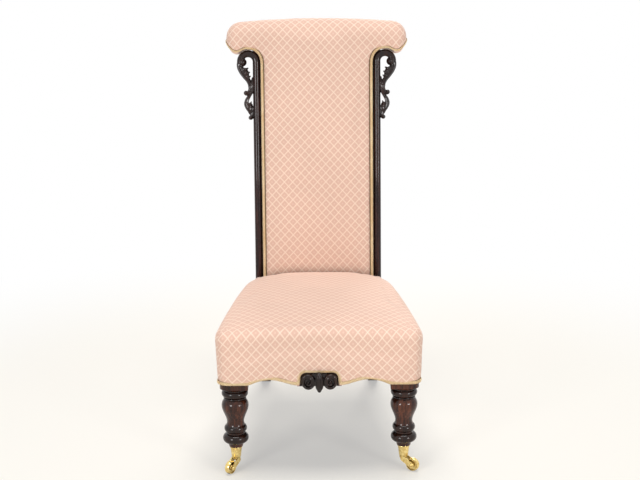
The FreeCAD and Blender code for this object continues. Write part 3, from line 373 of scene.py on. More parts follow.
@dataclass(frozen=True)
class PolishedHardwood(Finish):
    """Dark red-brown hardwood under old polish, painted shade black in its cuts, and on carving paler edges
    of rubbed wear and painted highlight.
    """

    name: str = "polished_wood_upright"
    grain: Grain = Grain.UPRIGHT
    dark: Colour = srgb(18, 7, 5)
    body: Colour = srgb(34, 13, 9)
    pale: Colour = srgb(62, 27, 18)
    cut_shade_and_ring_black: Colour = srgb(9, 6, 5)
    wear_and_edge_highlight: Colour = srgb(118, 68, 46)
    polish: float = 0.38
    carved: bool = False
    rings: Tuple[Tuple[float, float], ...] = ()

    def make(self, graph: Graph) -> bpy.types.Material:
        """Grain streaks, pores, painted shade in cuts, wear and painted highlight on carved edges, dark
        rings and a polish of uneven gloss.

        Args:
            graph: The new material's empty tree.

        Returns:
            The finished material.
        """
        streaks = graph.noise(graph.place(self.grain.stretch(220.0)), 1.0, 5.0, 0.8)
        figure = graph.noise(graph.place(self.grain.stretch(38.0)), 1.0, 2.0, 1.2)
        blend = graph.weigh(streaks, 0.55, figure, 0.45)
        wood = graph.ramp(blend, [(0.34, self.dark), (0.5, self.body), (0.68, self.pale)])
        pore = graph.span(graph.noise(graph.place(self.grain.stretch(1500.0)), 1.0, 1.0), 0.60, 0.70)
        wood = graph.mix(graph.math("MULTIPLY", pore, 0.45), wood, self.dark)
        # Painted shade: cuts and corners darken to near-black by how closed in they are.
        open_share = graph.span(graph.exposure(0.004 if self.carved else 0.007), 0.3, 0.95)
        wood = graph.mix(open_share, self.cut_shade_and_ring_black, wood)
        if self.carved:
            # Raised carved edges turn paler: rubbed wear, and a painted highlight.
            wear_and_edge_highlight = graph.span(graph.node("ShaderNodeNewGeometry").outputs["Pointiness"], 0.53, 0.62)
            wood = graph.mix(graph.math("MULTIPLY", wear_and_edge_highlight, 0.7), wood, self.wear_and_edge_highlight)
        height_z = graph.axes(graph.place())[2]
        for low, high in self.rings:
            inside = graph.math("MULTIPLY", graph.span(height_z, low - 0.002, low + 0.002),
                                graph.span(height_z, high - 0.002, high + 0.002, 1.0, 0.0))
            wood = graph.mix(graph.math("MULTIPLY", inside, 0.72), wood, self.cut_shade_and_ring_black)
        smears = graph.noise(graph.place(), 60.0, 4.0)
        graph.set(Base_Color=wood, Roughness=graph.span(smears, 0.3, 0.75, 0.18, 0.32))
        graph.set(Specular_IOR_Level=0.10, Coat_Weight=self.polish, Coat_Roughness=0.05)
        height = graph.weigh(smears, 0.5, pore, -0.25)
        graph.bump(height, 0.00012, 0.5)
        return graph.material


@dataclass(frozen=True)
class FrameTimber(Finish):
    """Plain beech of the hidden frame, sawn and left bare."""

    name: str = "frame_timber_across"
    grain: Grain = Grain.ACROSS
    dark: Colour = srgb(150, 106, 66)
    pale: Colour = srgb(198, 156, 108)

    def make(self, graph: Graph) -> bpy.types.Material:
        """Grain with flecks and saw marks.

        Args:
            graph: The new material's empty tree.

        Returns:
            The finished material.
        """
        streaks = graph.noise(graph.place(self.grain.stretch(180.0)), 1.0, 5.0, 0.5)
        flecks = graph.noise(graph.place(self.grain.stretch(900.0)), 1.0, 2.0)
        blend = graph.weigh(streaks, 0.7, flecks, 0.3)
        wood = graph.ramp(blend, [(0.35, self.dark), (0.65, self.pale)])
        graph.set(Base_Color=wood, Roughness=graph.span(flecks, 0.3, 0.7, 0.55, 0.8))
        graph.bump(blend, 0.0003, 0.6)
        return graph.material


@dataclass(frozen=True)
class Metal(Finish):
    """A worked metal with handling marks, darkened in its corners by dirt and painted shade."""

    name: str = "polished_brass"
    bright: Colour = srgb(248, 224, 154)
    dull: Colour = srgb(212, 178, 104)
    grime_and_shade: Colour = srgb(66, 46, 20)
    gloss: Tuple[float, float] = (0.12, 0.30)

    def make(self, graph: Graph) -> bpy.types.Material:
        """Polish, smears, fine scratches, and dirt with painted shade in corners.

        Args:
            graph: The new material's empty tree.

        Returns:
            The finished material.
        """
        smears = graph.noise(graph.place(), 170.0, 4.0, 0.4)
        scratches = graph.noise(graph.place((2600.0, 2600.0, 300.0)), 1.0, 2.0)
        colour = graph.ramp(smears, [(0.35, self.dull), (0.62, self.bright)])
        # Painted shade with dirt: corners and recesses darken by how closed in they are.
        open_share = graph.span(graph.exposure(0.010), 0.25, 0.8)
        colour = graph.mix(open_share, self.grime_and_shade, colour)
        graph.set(Base_Color=colour, Metallic=1.0)
        graph.set(Roughness=graph.span(smears, 0.3, 0.7, self.gloss[1], self.gloss[0]))
        graph.bump(graph.math("ADD", scratches, smears), 0.00004, 0.4)
        return graph.material


@dataclass(frozen=True)
class WovenStrip(Finish):
    """Cloth woven plainly from coarse yarn, for webbing, hessian and dust cloth."""

    name: str = "spring_hessian"
    pitch: float = 0.0016
    yarn: Colour = srgb(176, 146, 100)
    gap: Colour = srgb(96, 74, 46)
    roughness: float = 0.9

    def make(self, graph: Graph) -> bpy.types.Material:
        """Over-and-under yarns with slubs.

        Args:
            graph: The new material's empty tree.

        Returns:
            The finished material.
        """
        x, y, z = graph.axes(graph.place())
        waves = []
        for axis in (x, graph.math("ADD", y, z)):
            waves.append(graph.math("SINE", graph.math("MULTIPLY", axis, math.pi / self.pitch)))
        weave = graph.math("ABSOLUTE", graph.math("MULTIPLY", *waves))
        slubs = graph.noise(graph.place((500.0, 60.0, 60.0)), 1.0, 3.0)
        blend = graph.math("MULTIPLY", weave, graph.span(slubs, 0.25, 0.75, 0.7, 1.2))
        graph.set(Base_Color=graph.ramp(blend, [(0.1, self.gap), (0.55, self.yarn)]))
        graph.set(Roughness=self.roughness)
        graph.bump(blend, 0.0004, 0.8)
        return graph.material


@dataclass(frozen=True)
class HairStuffing(Finish):
    """Curled horsehair, teased out and matted."""

    name: str = "hair_stuffing"
    dark: Colour = srgb(48, 36, 28)
    pale: Colour = srgb(112, 90, 68)

    def make(self, graph: Graph) -> bpy.types.Material:
        """Tangled strands.

        Args:
            graph: The new material's empty tree.

        Returns:
            The finished material.
        """
        strands = graph.noise(graph.place((260.0, 260.0, 90.0)), 1.0, 6.0, 2.5)
        graph.set(Base_Color=graph.ramp(strands, [(0.38, self.dark), (0.62, self.pale)]), Roughness=0.95)
        graph.bump(strands, 0.002, 0.9)
        return graph.material


@dataclass(frozen=True)
class GimpThread(Finish):
    """Straw-coloured silk thread of the braid, with gold-brown painted shade in its folds."""

    name: str = "gimp_thread"
    light: Colour = srgb(250, 231, 190)
    deep: Colour = srgb(228, 192, 138)
    fold_shade: Colour = srgb(168, 122, 70)

    def make(self, graph: Graph) -> bpy.types.Material:
        """Twisted threads, with painted shade between the loops.

        Args:
            graph: The new material's empty tree.

        Returns:
            The finished material.
        """
        threads = graph.noise(graph.place((1400.0, 1400.0, 1400.0)), 1.0, 2.0)
        drift = graph.noise(graph.place(), 25.0, 2.0)
        blend = graph.weigh(threads, 0.6, drift, 0.4)
        colour = graph.ramp(blend, [(0.36, self.deep), (0.58, self.light)])
        # Painted shade: the thread darkens to gold-brown between loops and next to the cloth, by how closed
        # in it is.
        open_share = graph.span(graph.exposure(0.0016), 0.2, 0.75)
        colour = graph.mix(open_share, self.fold_shade, colour)
        graph.set(Base_Color=colour, Roughness=0.6, Sheen_Weight=0.15, Specular_IOR_Level=0.4)
        graph.bump(threads, 0.00015, 0.6)
        return graph.material


FABRIC = TrellisFabric()
WOOD_UPRIGHT = PolishedHardwood()
WOOD_TURNED = PolishedHardwood(name="polished_wood_turned", body=srgb(56, 27, 17), pale=srgb(106, 58, 38),
                               polish=0.5, rings=((0.066, 0.0885), (0.0915, 0.1085), (0.169, 0.192)))
WOOD_CARVED = PolishedHardwood(name="carved_wood", body=srgb(28, 12, 8), pale=srgb(54, 26, 17),
                               polish=0.55, carved=True)
TIMBER_ACROSS = FrameTimber()
TIMBER_LENGTHWISE = FrameTimber(name="frame_timber_lengthwise", grain=Grain.LENGTHWISE)
TIMBER_STAINED = FrameTimber(name="frame_timber_stained", dark=srgb(30, 14, 10), pale=srgb(58, 28, 19))
BRASS = Metal()
STEEL = Metal(name="screw_steel", bright=srgb(150, 148, 146), dull=srgb(108, 104, 100),
              grime_and_shade=srgb(60, 42, 32), gloss=(0.3, 0.5))
BRAID = GimpThread()
# Dark dots along the braid's edges: painted shadow where the braid meets the cloth.
BRAID_EDGE_SHADOW = GimpThread(name="gimp_edge_shadow", light=srgb(150, 100, 62), deep=srgb(112, 70, 42),
                    fold_shade=srgb(60, 36, 22))
HESSIAN = WovenStrip()
WEBBING = WovenStrip(name="jute_webbing", pitch=0.0026, yarn=srgb(188, 164, 122), gap=srgb(70, 58, 44))
DUST_CLOTH = WovenStrip(name="black_dust_cloth", pitch=0.0009, yarn=srgb(44, 42, 42),
                        gap=srgb(16, 15, 15))
STUFFING = HairStuffing()

SLOT_FINISH: Dict[str, Finish] = {
    "polished_hardwood": WOOD_UPRIGHT, "frame_wood": TIMBER_ACROSS, "brass": BRASS, "steel": STEEL,
    "trellis_fabric": FABRIC, "braid": BRAID, "webbing": WEBBING, "hessian": HESSIAN,
    "stuffing": STUFFING, "dust_cloth": DUST_CLOTH,
}


@dataclass(frozen=True)
class Lean:
    """The back's leaning frame: x across, q rearward from the posts' front plane, u up the lean."""

    y: float = 0.164
    z: float = 0.350
    angle: float = math.radians(6.0)

    def place(self, points: np.ndarray) -> np.ndarray:
        """Points of the back's frame, put where the back stands.

        Args:
            points: Rows of x, q and u.

        Returns:
            Rows of x, y and z.
        """
        x, q, u = np.asarray(points, float).T
        sine, cosine = math.sin(self.angle), math.cos(self.angle)
        return np.stack([x, self.y + q * cosine + u * sine, self.z - q * sine + u * cosine], axis=1)

    def rearward(self, count: int) -> np.ndarray:
        """The way square to the back and rearward, once for each of a count of points."""
        return np.tile((0.0, math.cos(self.angle), -math.sin(self.angle)), (count, 1))

    def front_y(self, z: float) -> float:
        """The y of the posts' front plane at a height."""
        return self.y + (z - self.z) * math.tan(self.angle)


BACK = Lean()


def new_piece(name: str, points: np.ndarray, faces: Sequence[Sequence[int]], finish: Finish) -> Piece:
    """A smooth mesh object at the origin, in one finish.

    Args:
        name: The piece's name.
        points: Rows of x, y and z.
        faces: Corner numbers of each face.
        finish: Its finish.

    Returns:
        The new object.
    """
    mesh = bpy.data.meshes.new(name)
    mesh.from_pydata([tuple(p) for p in np.asarray(points, float)], [], [tuple(f) for f in faces])
    mesh.update()
    piece = bpy.data.objects.new(name, mesh)
    bpy.context.scene.collection.objects.link(piece)
    coat(piece, finish)
    return piece


def coat(piece: Piece, finish: Finish) -> None:
    """Gives a piece one finish, on smooth faces."""
    piece.data.materials.clear()
    piece.data.materials.append(finish.material())
    piece.data.shade_smooth()


def coordinates(mesh: bpy.types.Mesh) -> np.ndarray:
    """A mesh's points as rows of x, y and z."""
    flat = np.zeros(len(mesh.vertices) * 3, np.float32)
    mesh.vertices.foreach_get("co", flat)
    return flat.reshape(-1, 3).astype(float)


def move_points(mesh: bpy.types.Mesh, points: np.ndarray) -> None:
    """Puts a mesh's points elsewhere."""
    mesh.vertices.foreach_set("co", np.asarray(points, np.float32).ravel())
    mesh.update()


def bake_modifiers(piece: Piece) -> None:
    """Turns a piece and its modifiers into a plain mesh."""
    graph = bpy.context.evaluated_depsgraph_get()
    mesh = bpy.data.meshes.new_from_object(piece.evaluated_get(graph))
    piece.modifiers.clear()
    piece.data = mesh
    mesh.name = piece.name


def face_outwards(mesh: bpy.types.Mesh) -> None:
    """Merges doubled points and turns every face of a closed mesh outwards."""
    work = bmesh.new()
    work.from_mesh(mesh)
    bmesh.ops.remove_doubles(work, verts=work.verts, dist=1e-6)
    bmesh.ops.recalc_face_normals(work, faces=work.faces)
    work.to_mesh(mesh)
    work.free()


def grid_faces(columns: int, rows: int, closed: bool = False) -> List[Sequence[int]]:
    """Quads between rows of points.

    Args:
        columns: Points in a row.
        rows: Number of rows.
        closed: Whether a row's last point joins its first.

    Returns:
        The quads' corner numbers.
    """
    faces = []
    for row in range(rows - 1):
        for column in range(columns if closed else columns - 1):
            after = (column + 1) % columns
            low, high = row * columns, (row + 1) * columns
            faces.append((low + column, low + after, high + after, high + column))
    return faces


def closed_skin(rings: Sequence[np.ndarray]) -> Form:
    """A closed skin over rings that have as many points each."""
    count = len(rings[0])
    ends = [range(count)[::-1], range((len(rings) - 1) * count, len(rings) * count)]
    return np.vstack(rings), grid_faces(count, len(rings), closed=True) + ends


def join_forms(forms: Sequence[Form]) -> Form:
    """Several forms as one."""
    faces = []
    start = 0
    for form_points, form_faces in forms:
        faces += [[number + start for number in face] for face in form_faces]
        start += len(form_points)
    return np.vstack([form_points for form_points, _ in forms]), faces


def smooth_path(points: Sequence[Sequence[float]], count: int) -> np.ndarray:
    """A smooth line through points.

    Args:
        points: The points that it passes through.
        count: Number of points on the result, evenly spaced.

    Returns:
        The line's points, one per row.
    """
    knots = np.asarray(points, float)
    ends = np.vstack([2 * knots[0] - knots[1], knots, 2 * knots[-1] - knots[-2]])
    fine = []
    for a, b, c, d in zip(ends[:-3], ends[1:-2], ends[2:-1], ends[3:]):
        for t in np.linspace(0.0, 1.0, 24, endpoint=False):
            fine.append(0.5 * (2 * b + (c - a) * t + (2 * a - 5 * b + 4 * c - d) * t ** 2
                               + (3 * b - a - 3 * c + d) * t ** 3))
    return even_path(np.array(fine + [knots[-1]]), count)


def distances(line: np.ndarray) -> np.ndarray:
    """How far along a line each of its points lies."""
    return np.concatenate([[0.0], np.cumsum(np.linalg.norm(np.diff(line, axis=0), axis=1))])


def read_line(at: np.ndarray, along: np.ndarray, rows: np.ndarray) -> np.ndarray:
    """Reads rows of numbers between the places that they stand for.

    Args:
        at: The places wanted.
        along: The place of each row.
        rows: Rows of numbers.

    Returns:
        A row for each place wanted.
    """
    return np.stack([np.interp(at, along, column) for column in rows.T], axis=1)


def along_path(line: np.ndarray, shares: np.ndarray) -> np.ndarray:
    """Points at shares of a line's length."""
    along = distances(line)
    return read_line(shares * along[-1], along, line)


def even_path(line: np.ndarray, count: int) -> np.ndarray:
    """A line again, as a count of evenly spaced points."""
    return along_path(line, np.linspace(0.0, 1.0, count))


def eased(share: Real) -> Real:
    """A share kept between 0 and 1, with a soft start and end."""
    kept = np.clip(share, 0.0, 1.0)
    return kept * kept * (3 - 2 * kept)


@dataclass
class Pressure:
    """A short cloth simulation that plumps a padded cover."""

    force: float = 4.0
    frames: int = 20
    cap: float = 0.006

    def plump(self, piece: Piece, pinned: np.ndarray) -> None:
        """Swells a piece's mesh under pressure, with no point moving further than the cap.

        Args:
            piece: The piece, with no modifiers.
            pinned: Which points stay where they are, as true or false.
        """
        rest = coordinates(piece.data)
        normals = np.array([vertex.normal for vertex in piece.data.vertices])
        group = piece.vertex_groups.new(name="held")
        group.add([int(i) for i in np.flatnonzero(pinned)], 1.0, "REPLACE")
        cloth = piece.modifiers.new("cloth", "CLOTH")
        settings = cloth.settings
        settings.quality = 5
        settings.mass = 0.3
        settings.tension_stiffness = settings.compression_stiffness = 18.0
        settings.shear_stiffness = 8.0
        settings.bending_stiffness = 4.0
        settings.use_pressure = True
        settings.uniform_pressure_force = self.force
        settings.effector_weights.gravity = 0.0
        settings.vertex_group_mass = "held"
        cloth.collision_settings.use_collision = False
        cloth.point_cache.frame_start = 1
        cloth.point_cache.frame_end = self.frames
        scene = bpy.context.scene
        for step in range(1, self.frames + 1):
            scene.frame_set(step)
        swollen = piece.evaluated_get(bpy.context.evaluated_depsgraph_get()).to_mesh()
        move = coordinates(swollen) - rest
        reach = np.linalg.norm(move, axis=1, keepdims=True)
        piece.modifiers.clear()
        piece.vertex_groups.clear()
        move *= np.minimum(1.0, self.cap / np.maximum(reach, 1e-9))
        inward = np.minimum((move * normals).sum(axis=1, keepdims=True), 0.0)
        move_points(piece.data, rest + move - inward * normals)
        scene.frame_set(1)


def subdivide(piece: Piece, levels: int = 1) -> None:
    """Adds a baked subdivision to a piece."""
    modifier = piece.modifiers.new("subdivision", "SUBSURF")
    modifier.levels = modifier.render_levels = levels
    bake_modifiers(piece)


def smooth(piece: Piece, rounds: int) -> None:
    """Smooths a piece and bakes its modifiers."""
    modifier = piece.modifiers.new("ease", "SMOOTH")
    modifier.factor = 0.5
    modifier.iterations = rounds
    bake_modifiers(piece)


def melt(piece: Piece, voxel: float, rounds: int) -> None:
    """Turns a piece's overlapping forms into one smooth skin.

    Args:
        piece: The piece.
        voxel: Fineness of the skin.
        rounds: Rounds of smoothing.
    """
    remesh = piece.modifiers.new("remesh", "REMESH")
    remesh.mode = "VOXEL"
    remesh.voxel_size = voxel
    smooth(piece, rounds)


def thicken(piece: Piece, depth: float) -> None:
    """Gives a sheet its thickness on the inner side, with a closed rim."""
    modifier = piece.modifiers.new("thickness", "SOLIDIFY")
    modifier.thickness = depth
    modifier.offset = -1.0
    modifier.use_even_offset = True
    bake_modifiers(piece)


def ripple(piece: Piece, height: float, length: float) -> None:
    """Gives a cover the slight unevenness of hand-laid stuffing.

    Args:
        piece: The cover.
        height: How far points move in or out at most.
        length: Usual length of an unevenness.
    """
    points = coordinates(piece.data)
    for vertex, point in zip(piece.data.vertices, points):
        point += np.array(vertex.normal) * height * noise.noise(vertex.co / length)
    move_points(piece.data, points)


def write_uv(mesh: bpy.types.Mesh, corners: np.ndarray) -> None:
    """Stores a flat cloth map, with one row per face corner."""
    layer = mesh.uv_layers.get(CLOTH_UV) or mesh.uv_layers.new(name=CLOTH_UV)
    layer.data.foreach_set("uv", np.asarray(corners, np.float32).ravel())


def corner_points(mesh: bpy.types.Mesh) -> np.ndarray:
    """The point number of every face corner."""
    numbers = np.zeros(len(mesh.loops), np.int32)
    mesh.loops.foreach_get("vertex_index", numbers)
    return numbers


def dress(piece: Piece, slot: str, *nodes: str, body: str = ROOT_BODY) -> Piece:
    """Puts a finished piece on its body, in place of CAD nodes.

    Args:
        piece: The finished piece.
        slot: The record's material slot; not used.
        nodes: CAD nodes that it stands for.
        body: The body that carries it.

    Returns:
        The same piece.
    """
    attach(piece, body)
    if nodes:
        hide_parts(*nodes)
    log.info("%s: %d faces on %s", piece.name, len(piece.data.polygons), body)
    return piece


@dataclass
class SeatUpholstery:
    """Sprung seat in its fitted cover, with a shaped front and an opening for the carving."""

    front_y: float = -0.326
    rear_y: float = 0.160
    front_half: float = 0.223
    slope: float = -0.062 / 0.488
    crown_z: float = 0.354
    crown_y: float = -0.040
    crown_radius: float = 2.2
    corner_radius: float = 0.024
    least_radius: float = 0.002
    edge_radius: float = 0.019
    inner_inset: float = 0.034
    side_foot_z: float = 0.209
    front_foot: Route = ((0.154, 0.209), (0.128, 0.2185), (0.096, 0.2205), (0.048, 0.207))
    notch_half: float = 0.041
    notch_foot_z: float = 0.2065
    notch_top_z: float = 0.237
    notch_radius: float = 0.012
    foot_flare: float = 0.0003
    top_flare: float = 0.0052
    flare_curve: float = 0.7
    foot_fade: float = 0.8
    thickness: float = 0.0015
    tuck: float = 0.030
    tuck_y: Tuple[float, float] = (0.125, 0.146)
    tuck_curve: float = 1.3
    post_inner: float = 0.142
    post_blend: float = 0.022
    post_gap: float = 0.0005
    rear_fall: float = 0.009
    fall_x: Tuple[float, float] = (0.085, 0.160)
    fall_y: Tuple[float, float] = (0.02, 0.15)
    pleat_depth: float = 0.0016
    plump: float = 0.005
    unevenness: Tuple[float, float] = (0.0005, 0.045)
    front_columns: int = 40
    side_columns: int = 50
    side_spread: float = 1.35
    skirt_rows: int = 12
    edge_rows: int = 6
    corner_steps: int = 24
    straight_steps: int = 59
    pinned_rows: int = 4

    def half_at(self, y: Real, inset: float) -> Real:
        """Half width of the seat at y, less an inset square to its side."""
        return self.front_half + (y - self.front_y) * self.slope - inset * math.hypot(1.0, self.slope)

    def crown(self, x: Real, y: Real) -> Real:
        """Height of the crowned top, with a dip where it meets the back and lower corners at the posts.

        Args:
            x, y: Places on the plan.

        Returns:
            The height at each.
        """
        ball = np.sqrt(self.crown_radius ** 2 - x ** 2 - (y - self.crown_y) ** 2) - self.crown_radius
        dip = np.interp(y, self.tuck_y, (0.0, 1.0)) ** self.tuck_curve
        between_posts = eased((self.post_inner - np.abs(x)) / self.post_blend)
        outer = np.interp(np.abs(x), self.fall_x, (0.0, 1.0)) * np.interp(y, self.fall_y, (0.0, 1.0))
        return self.crown_z + ball - self.rear_fall * eased(outer) - self.tuck * dip * between_posts

    def half_ring(self, inset: float, rear_y: float) -> Tuple[np.ndarray, int]:
        """Right half of the plan at an inset, from the middle of the front to the rear, as a fine line.

        Args:
            inset: Distance in from the outer edge.
            rear_y: Where the side ends.

        Returns:
            Rows of x and y, and the number of the corner's middle point.
        """
        radius = max(self.corner_radius - inset, self.least_radius)
        centre_y = self.front_y + inset + radius
        centre_x = self.half_at(centre_y, inset + radius)
        angles = np.linspace(-math.pi / 2, math.atan(-self.slope), self.corner_steps + 1)
        arc = np.stack([centre_x + radius * np.cos(angles), centre_y + radius * np.sin(angles)], axis=1)
        xs = np.linspace(0.0, centre_x, self.straight_steps + 1)[:-1]
        front = np.stack([xs, np.full(len(xs), self.front_y + inset)], axis=1)
        ys = np.linspace(arc[-1, 1], rear_y, self.straight_steps + 1)[1:]
        side = np.stack([self.half_at(ys, inset), ys], axis=1)
        return np.vstack([front, arc, side]), len(front) + self.corner_steps // 2

    def notch_arc(self, outset: float, count: int) -> np.ndarray:
        """The opening's rounded upper corner.

        Args:
            outset: Distance out from the opening's edge.
            count: Number of points.

        Returns:
            Rows of distance along the plan and height, from the top outwards.
        """
        turn = np.linspace(math.pi / 2, 0.0, count)
        centre = (self.notch_half - self.notch_radius, self.notch_top_z - self.notch_radius)
        return centre + (self.notch_radius + outset) * np.stack([np.cos(turn), np.sin(turn)], axis=1)

    def foot_line(self, corner: float) -> np.ndarray:
        """Lower edge of the front's right half, as distance along the plan and height.

        Args:
            corner: Distance along the plan to the corner's middle.

        Returns:
            Rows of distance and height, from the middle of the opening outwards.
        """
        top, low = (0.0, self.notch_top_z), (self.notch_half, self.notch_foot_z)
        wave = smooth_path(self.front_foot[::-1], 40)
        return np.vstack([[top], self.notch_arc(0.0, 8), [low], wave, [(corner, self.side_foot_z)]])

    def build(self) -> Piece:
        """Makes the cover, plumps it and gives it thickness.

        Returns:
            The finished seat.
        """
        piece, held, corners = self.weave(self.ring_rows())
        Pressure(cap=self.plump).plump(piece, held)
        self.pleat(piece, corners)
        ripple(piece, *self.unevenness)
        subdivide(piece)
        thicken(piece, self.thickness)
        return dress(piece, "trellis_fabric", "seat_cover", "seat_stuffing")

    def ring_rows(self) -> List[np.ndarray]:
        """Rows of the right half, from the lower edge to the inner border of the top.

        Returns:
            For each row its points.
        """
        outline, corner = self.half_ring(-self.foot_flare, self.rear_y)
        foot = even_path(self.foot_line(distances(outline)[corner]), self.front_columns + 1)
        front_share = np.linspace(0.0, 1.0, self.front_columns + 1)
        side_share = 1 - (1 - np.linspace(0.0, 1.0, self.side_columns + 1)[1:]) ** self.side_spread
        rows = []
        for share in np.linspace(0.0, 1.0, self.skirt_rows + 1):
            rows.append(self.face_row(share, foot, front_share, side_share))
        for angle in np.linspace(0.0, math.pi / 2, self.edge_rows + 1)[1:]:
            rows.append(self.top_row(self.edge_radius * (1 - math.cos(angle)), front_share, side_share))
        rows.append(self.top_row(self.inner_inset, front_share, side_share))
        return rows

    def face_row(self, share: float, foot: np.ndarray, front_share: np.ndarray,
                 side_share: np.ndarray) -> np.ndarray:
        """A row on the upright face.

        Args:
            share: Its place, from the face's foot at 0 to its top at 1.
            foot: The front's lower edge, as distance along the plan and height.
            front_share: Shares of the front half's length.
            side_share: Shares of the side's length.

        Returns:
            Rows of x, y and z.
        """
        flare = self.foot_flare + (self.top_flare - self.foot_flare) * share ** self.flare_curve
        outline, corner = self.half_ring(-flare, self.rear_y)
        along = distances(outline)
        edge_z = self.crown(outline[:, 0], outline[:, 1]) - self.edge_radius
        blend = share ** self.foot_fade
        at = foot[:, 0] * (1 - blend) + front_share * along[corner] * blend
        front_z = foot[:, 1] * (1 - share) + np.interp(at, along, edge_z) * share
        rear_z = self.side_foot_z * (1 - share) + edge_z[-1] * share
        line, middle = self.half_ring(-flare, min(BACK.front_y(rear_z) - self.post_gap, self.rear_y))
        side = along_path(line[middle:], side_share)
        tops = np.interp(side[:, 1], outline[corner:, 1], edge_z[corner:])
        side_z = self.side_foot_z * (1 - share) + tops * share
        plan = np.vstack([read_line(at, along, outline), side])
        return np.column_stack([plan, np.concatenate([front_z, side_z])])

    def top_row(self, inset: float, front_share: np.ndarray, side_share: np.ndarray) -> np.ndarray:
        """A row on the rounded edge or the top.

        Args:
            inset: Distance in from the outer edge.
            front_share: Shares of the front half's length.
            side_share: Shares of the side's length.

        Returns:
            Rows of x, y and z.
        """
        line, corner = self.half_ring(inset - self.top_flare, self.rear_y)
        front, side = line[:corner + 1], line[corner:]
        plan = np.vstack([along_path(front, front_share), along_path(side, side_share)])
        lost = max(self.edge_radius - inset, 0.0)
        drop = self.edge_radius - math.sqrt(self.edge_radius ** 2 - lost ** 2)
        return np.column_stack([plan, self.crown(plan[:, 0], plan[:, 1]) - drop])

    def weave(self, rows: List[np.ndarray]) -> Tuple[Piece, np.ndarray, np.ndarray]:
        """Joins the rows, both halves and the top into one mesh with a flat cloth map.

        Args:
            rows: Rows of the right half, from the lower edge inwards.

        Returns:
            The cover as a sheet, which of its points are held, and the numbers of those at the corners.
        """
        wide, side = 2 * self.front_columns, self.side_columns
        full = [np.vstack([row[:0:-1] * (-1.0, 1.0, 1.0), row]) for row in rows]
        chain = len(full[0])
        starts = np.arange(len(full)) * chain
        points = list(np.vstack(full))
        left, right = full[-1][:side + 1][::-1], full[-1][-(side + 1):]
        line = full[-1][side:side + wide + 1, 0]
        numbers = np.zeros((side + 1, wide + 1), int)
        numbers[0] = starts[-1] + side + np.arange(wide + 1)
        numbers[:, 0] = starts[-1] + side - np.arange(side + 1)
        numbers[:, -1] = starts[-1] + side + wide + np.arange(side + 1)
        for j in range(1, side + 1):
            for i in range(1, wide):
                share = (line[i] - line[0]) / (line[-1] - line[0])
                x, y = left[j, :2] * (1 - share) + right[j, :2] * share
                numbers[j, i] = len(points)
                points.append(np.array([x, y, self.crown(x, y)]))
        faces = grid_faces(chain, len(full))
        row_panels = [CoverPanel.SIDE] * side + [CoverPanel.FRONT] * wide + [CoverPanel.SIDE] * side
        panels = row_panels * (len(full) - 1) + [CoverPanel.TOP] * (side * wide)
        for j in range(side):
            for i in range(wide):
                near, far = numbers[j], numbers[j + 1]
                faces.append((near[i], near[i + 1], far[i + 1], far[i]))
        piece = new_piece("seat_cover_cloth", np.array(points), faces, FABRIC)
        self.lay_flat(piece, full, np.array(points), np.array(panels))
        held = np.zeros(len(points), bool)
        held[:chain] = True
        held[starts] = held[starts + chain - 1] = True
        held[numbers[-self.pinned_rows:].ravel()] = True
        return piece, held, np.concatenate([starts[:-1] + side, starts[:-1] + side + wide])

    def lay_flat(self, piece: Piece, full: List[np.ndarray], points: np.ndarray,
                 panels: np.ndarray) -> None:
        """Writes where each point lay on the uncut cloth.

        Args:
            piece: The cover.
            full: Its rows, from the lower edge inwards.
            points: All its points.
            panels: For each face the panel that it belongs to.
        """
        chain, inner = len(full[0]), full[-1]
        out = np.zeros((len(full), chain))
        for row in range(len(full) - 2, -1, -1):
            out[row] = out[row + 1] + np.linalg.norm(full[row] - full[row + 1], axis=1)
        maps = np.zeros((len(CoverPanel), len(points), 2))
        maps[CoverPanel.TOP] = points[:, :2]
        for row, line in enumerate(full):
            along = distances(line[:, :2])
            spot = slice(row * chain, (row + 1) * chain)
            maps[CoverPanel.FRONT, spot, 0] = along - along[chain // 2]
            maps[CoverPanel.FRONT, spot, 1] = inner[:, 1] - out[row]
            maps[CoverPanel.SIDE, spot, 0] = inner[:, 0] + np.sign(inner[:, 0]) * out[row]
            maps[CoverPanel.SIDE, spot, 1] = (line[:, 1] + inner[:, 1]) / 2
        write_uv(piece.data, maps[np.repeat(panels, 4), corner_points(piece.data)])

    def pleat(self, piece: Piece, corners: np.ndarray) -> None:
        """Draws in the folded cloth at the points of the two front corners."""
        points = coordinates(piece.data)
        inward = points[corners] * (-1.0, -1.0, 0.0)
        points[corners] += inward / np.linalg.norm(inward, axis=1, keepdims=True) * self.pleat_depth
        move_points(piece.data, points)


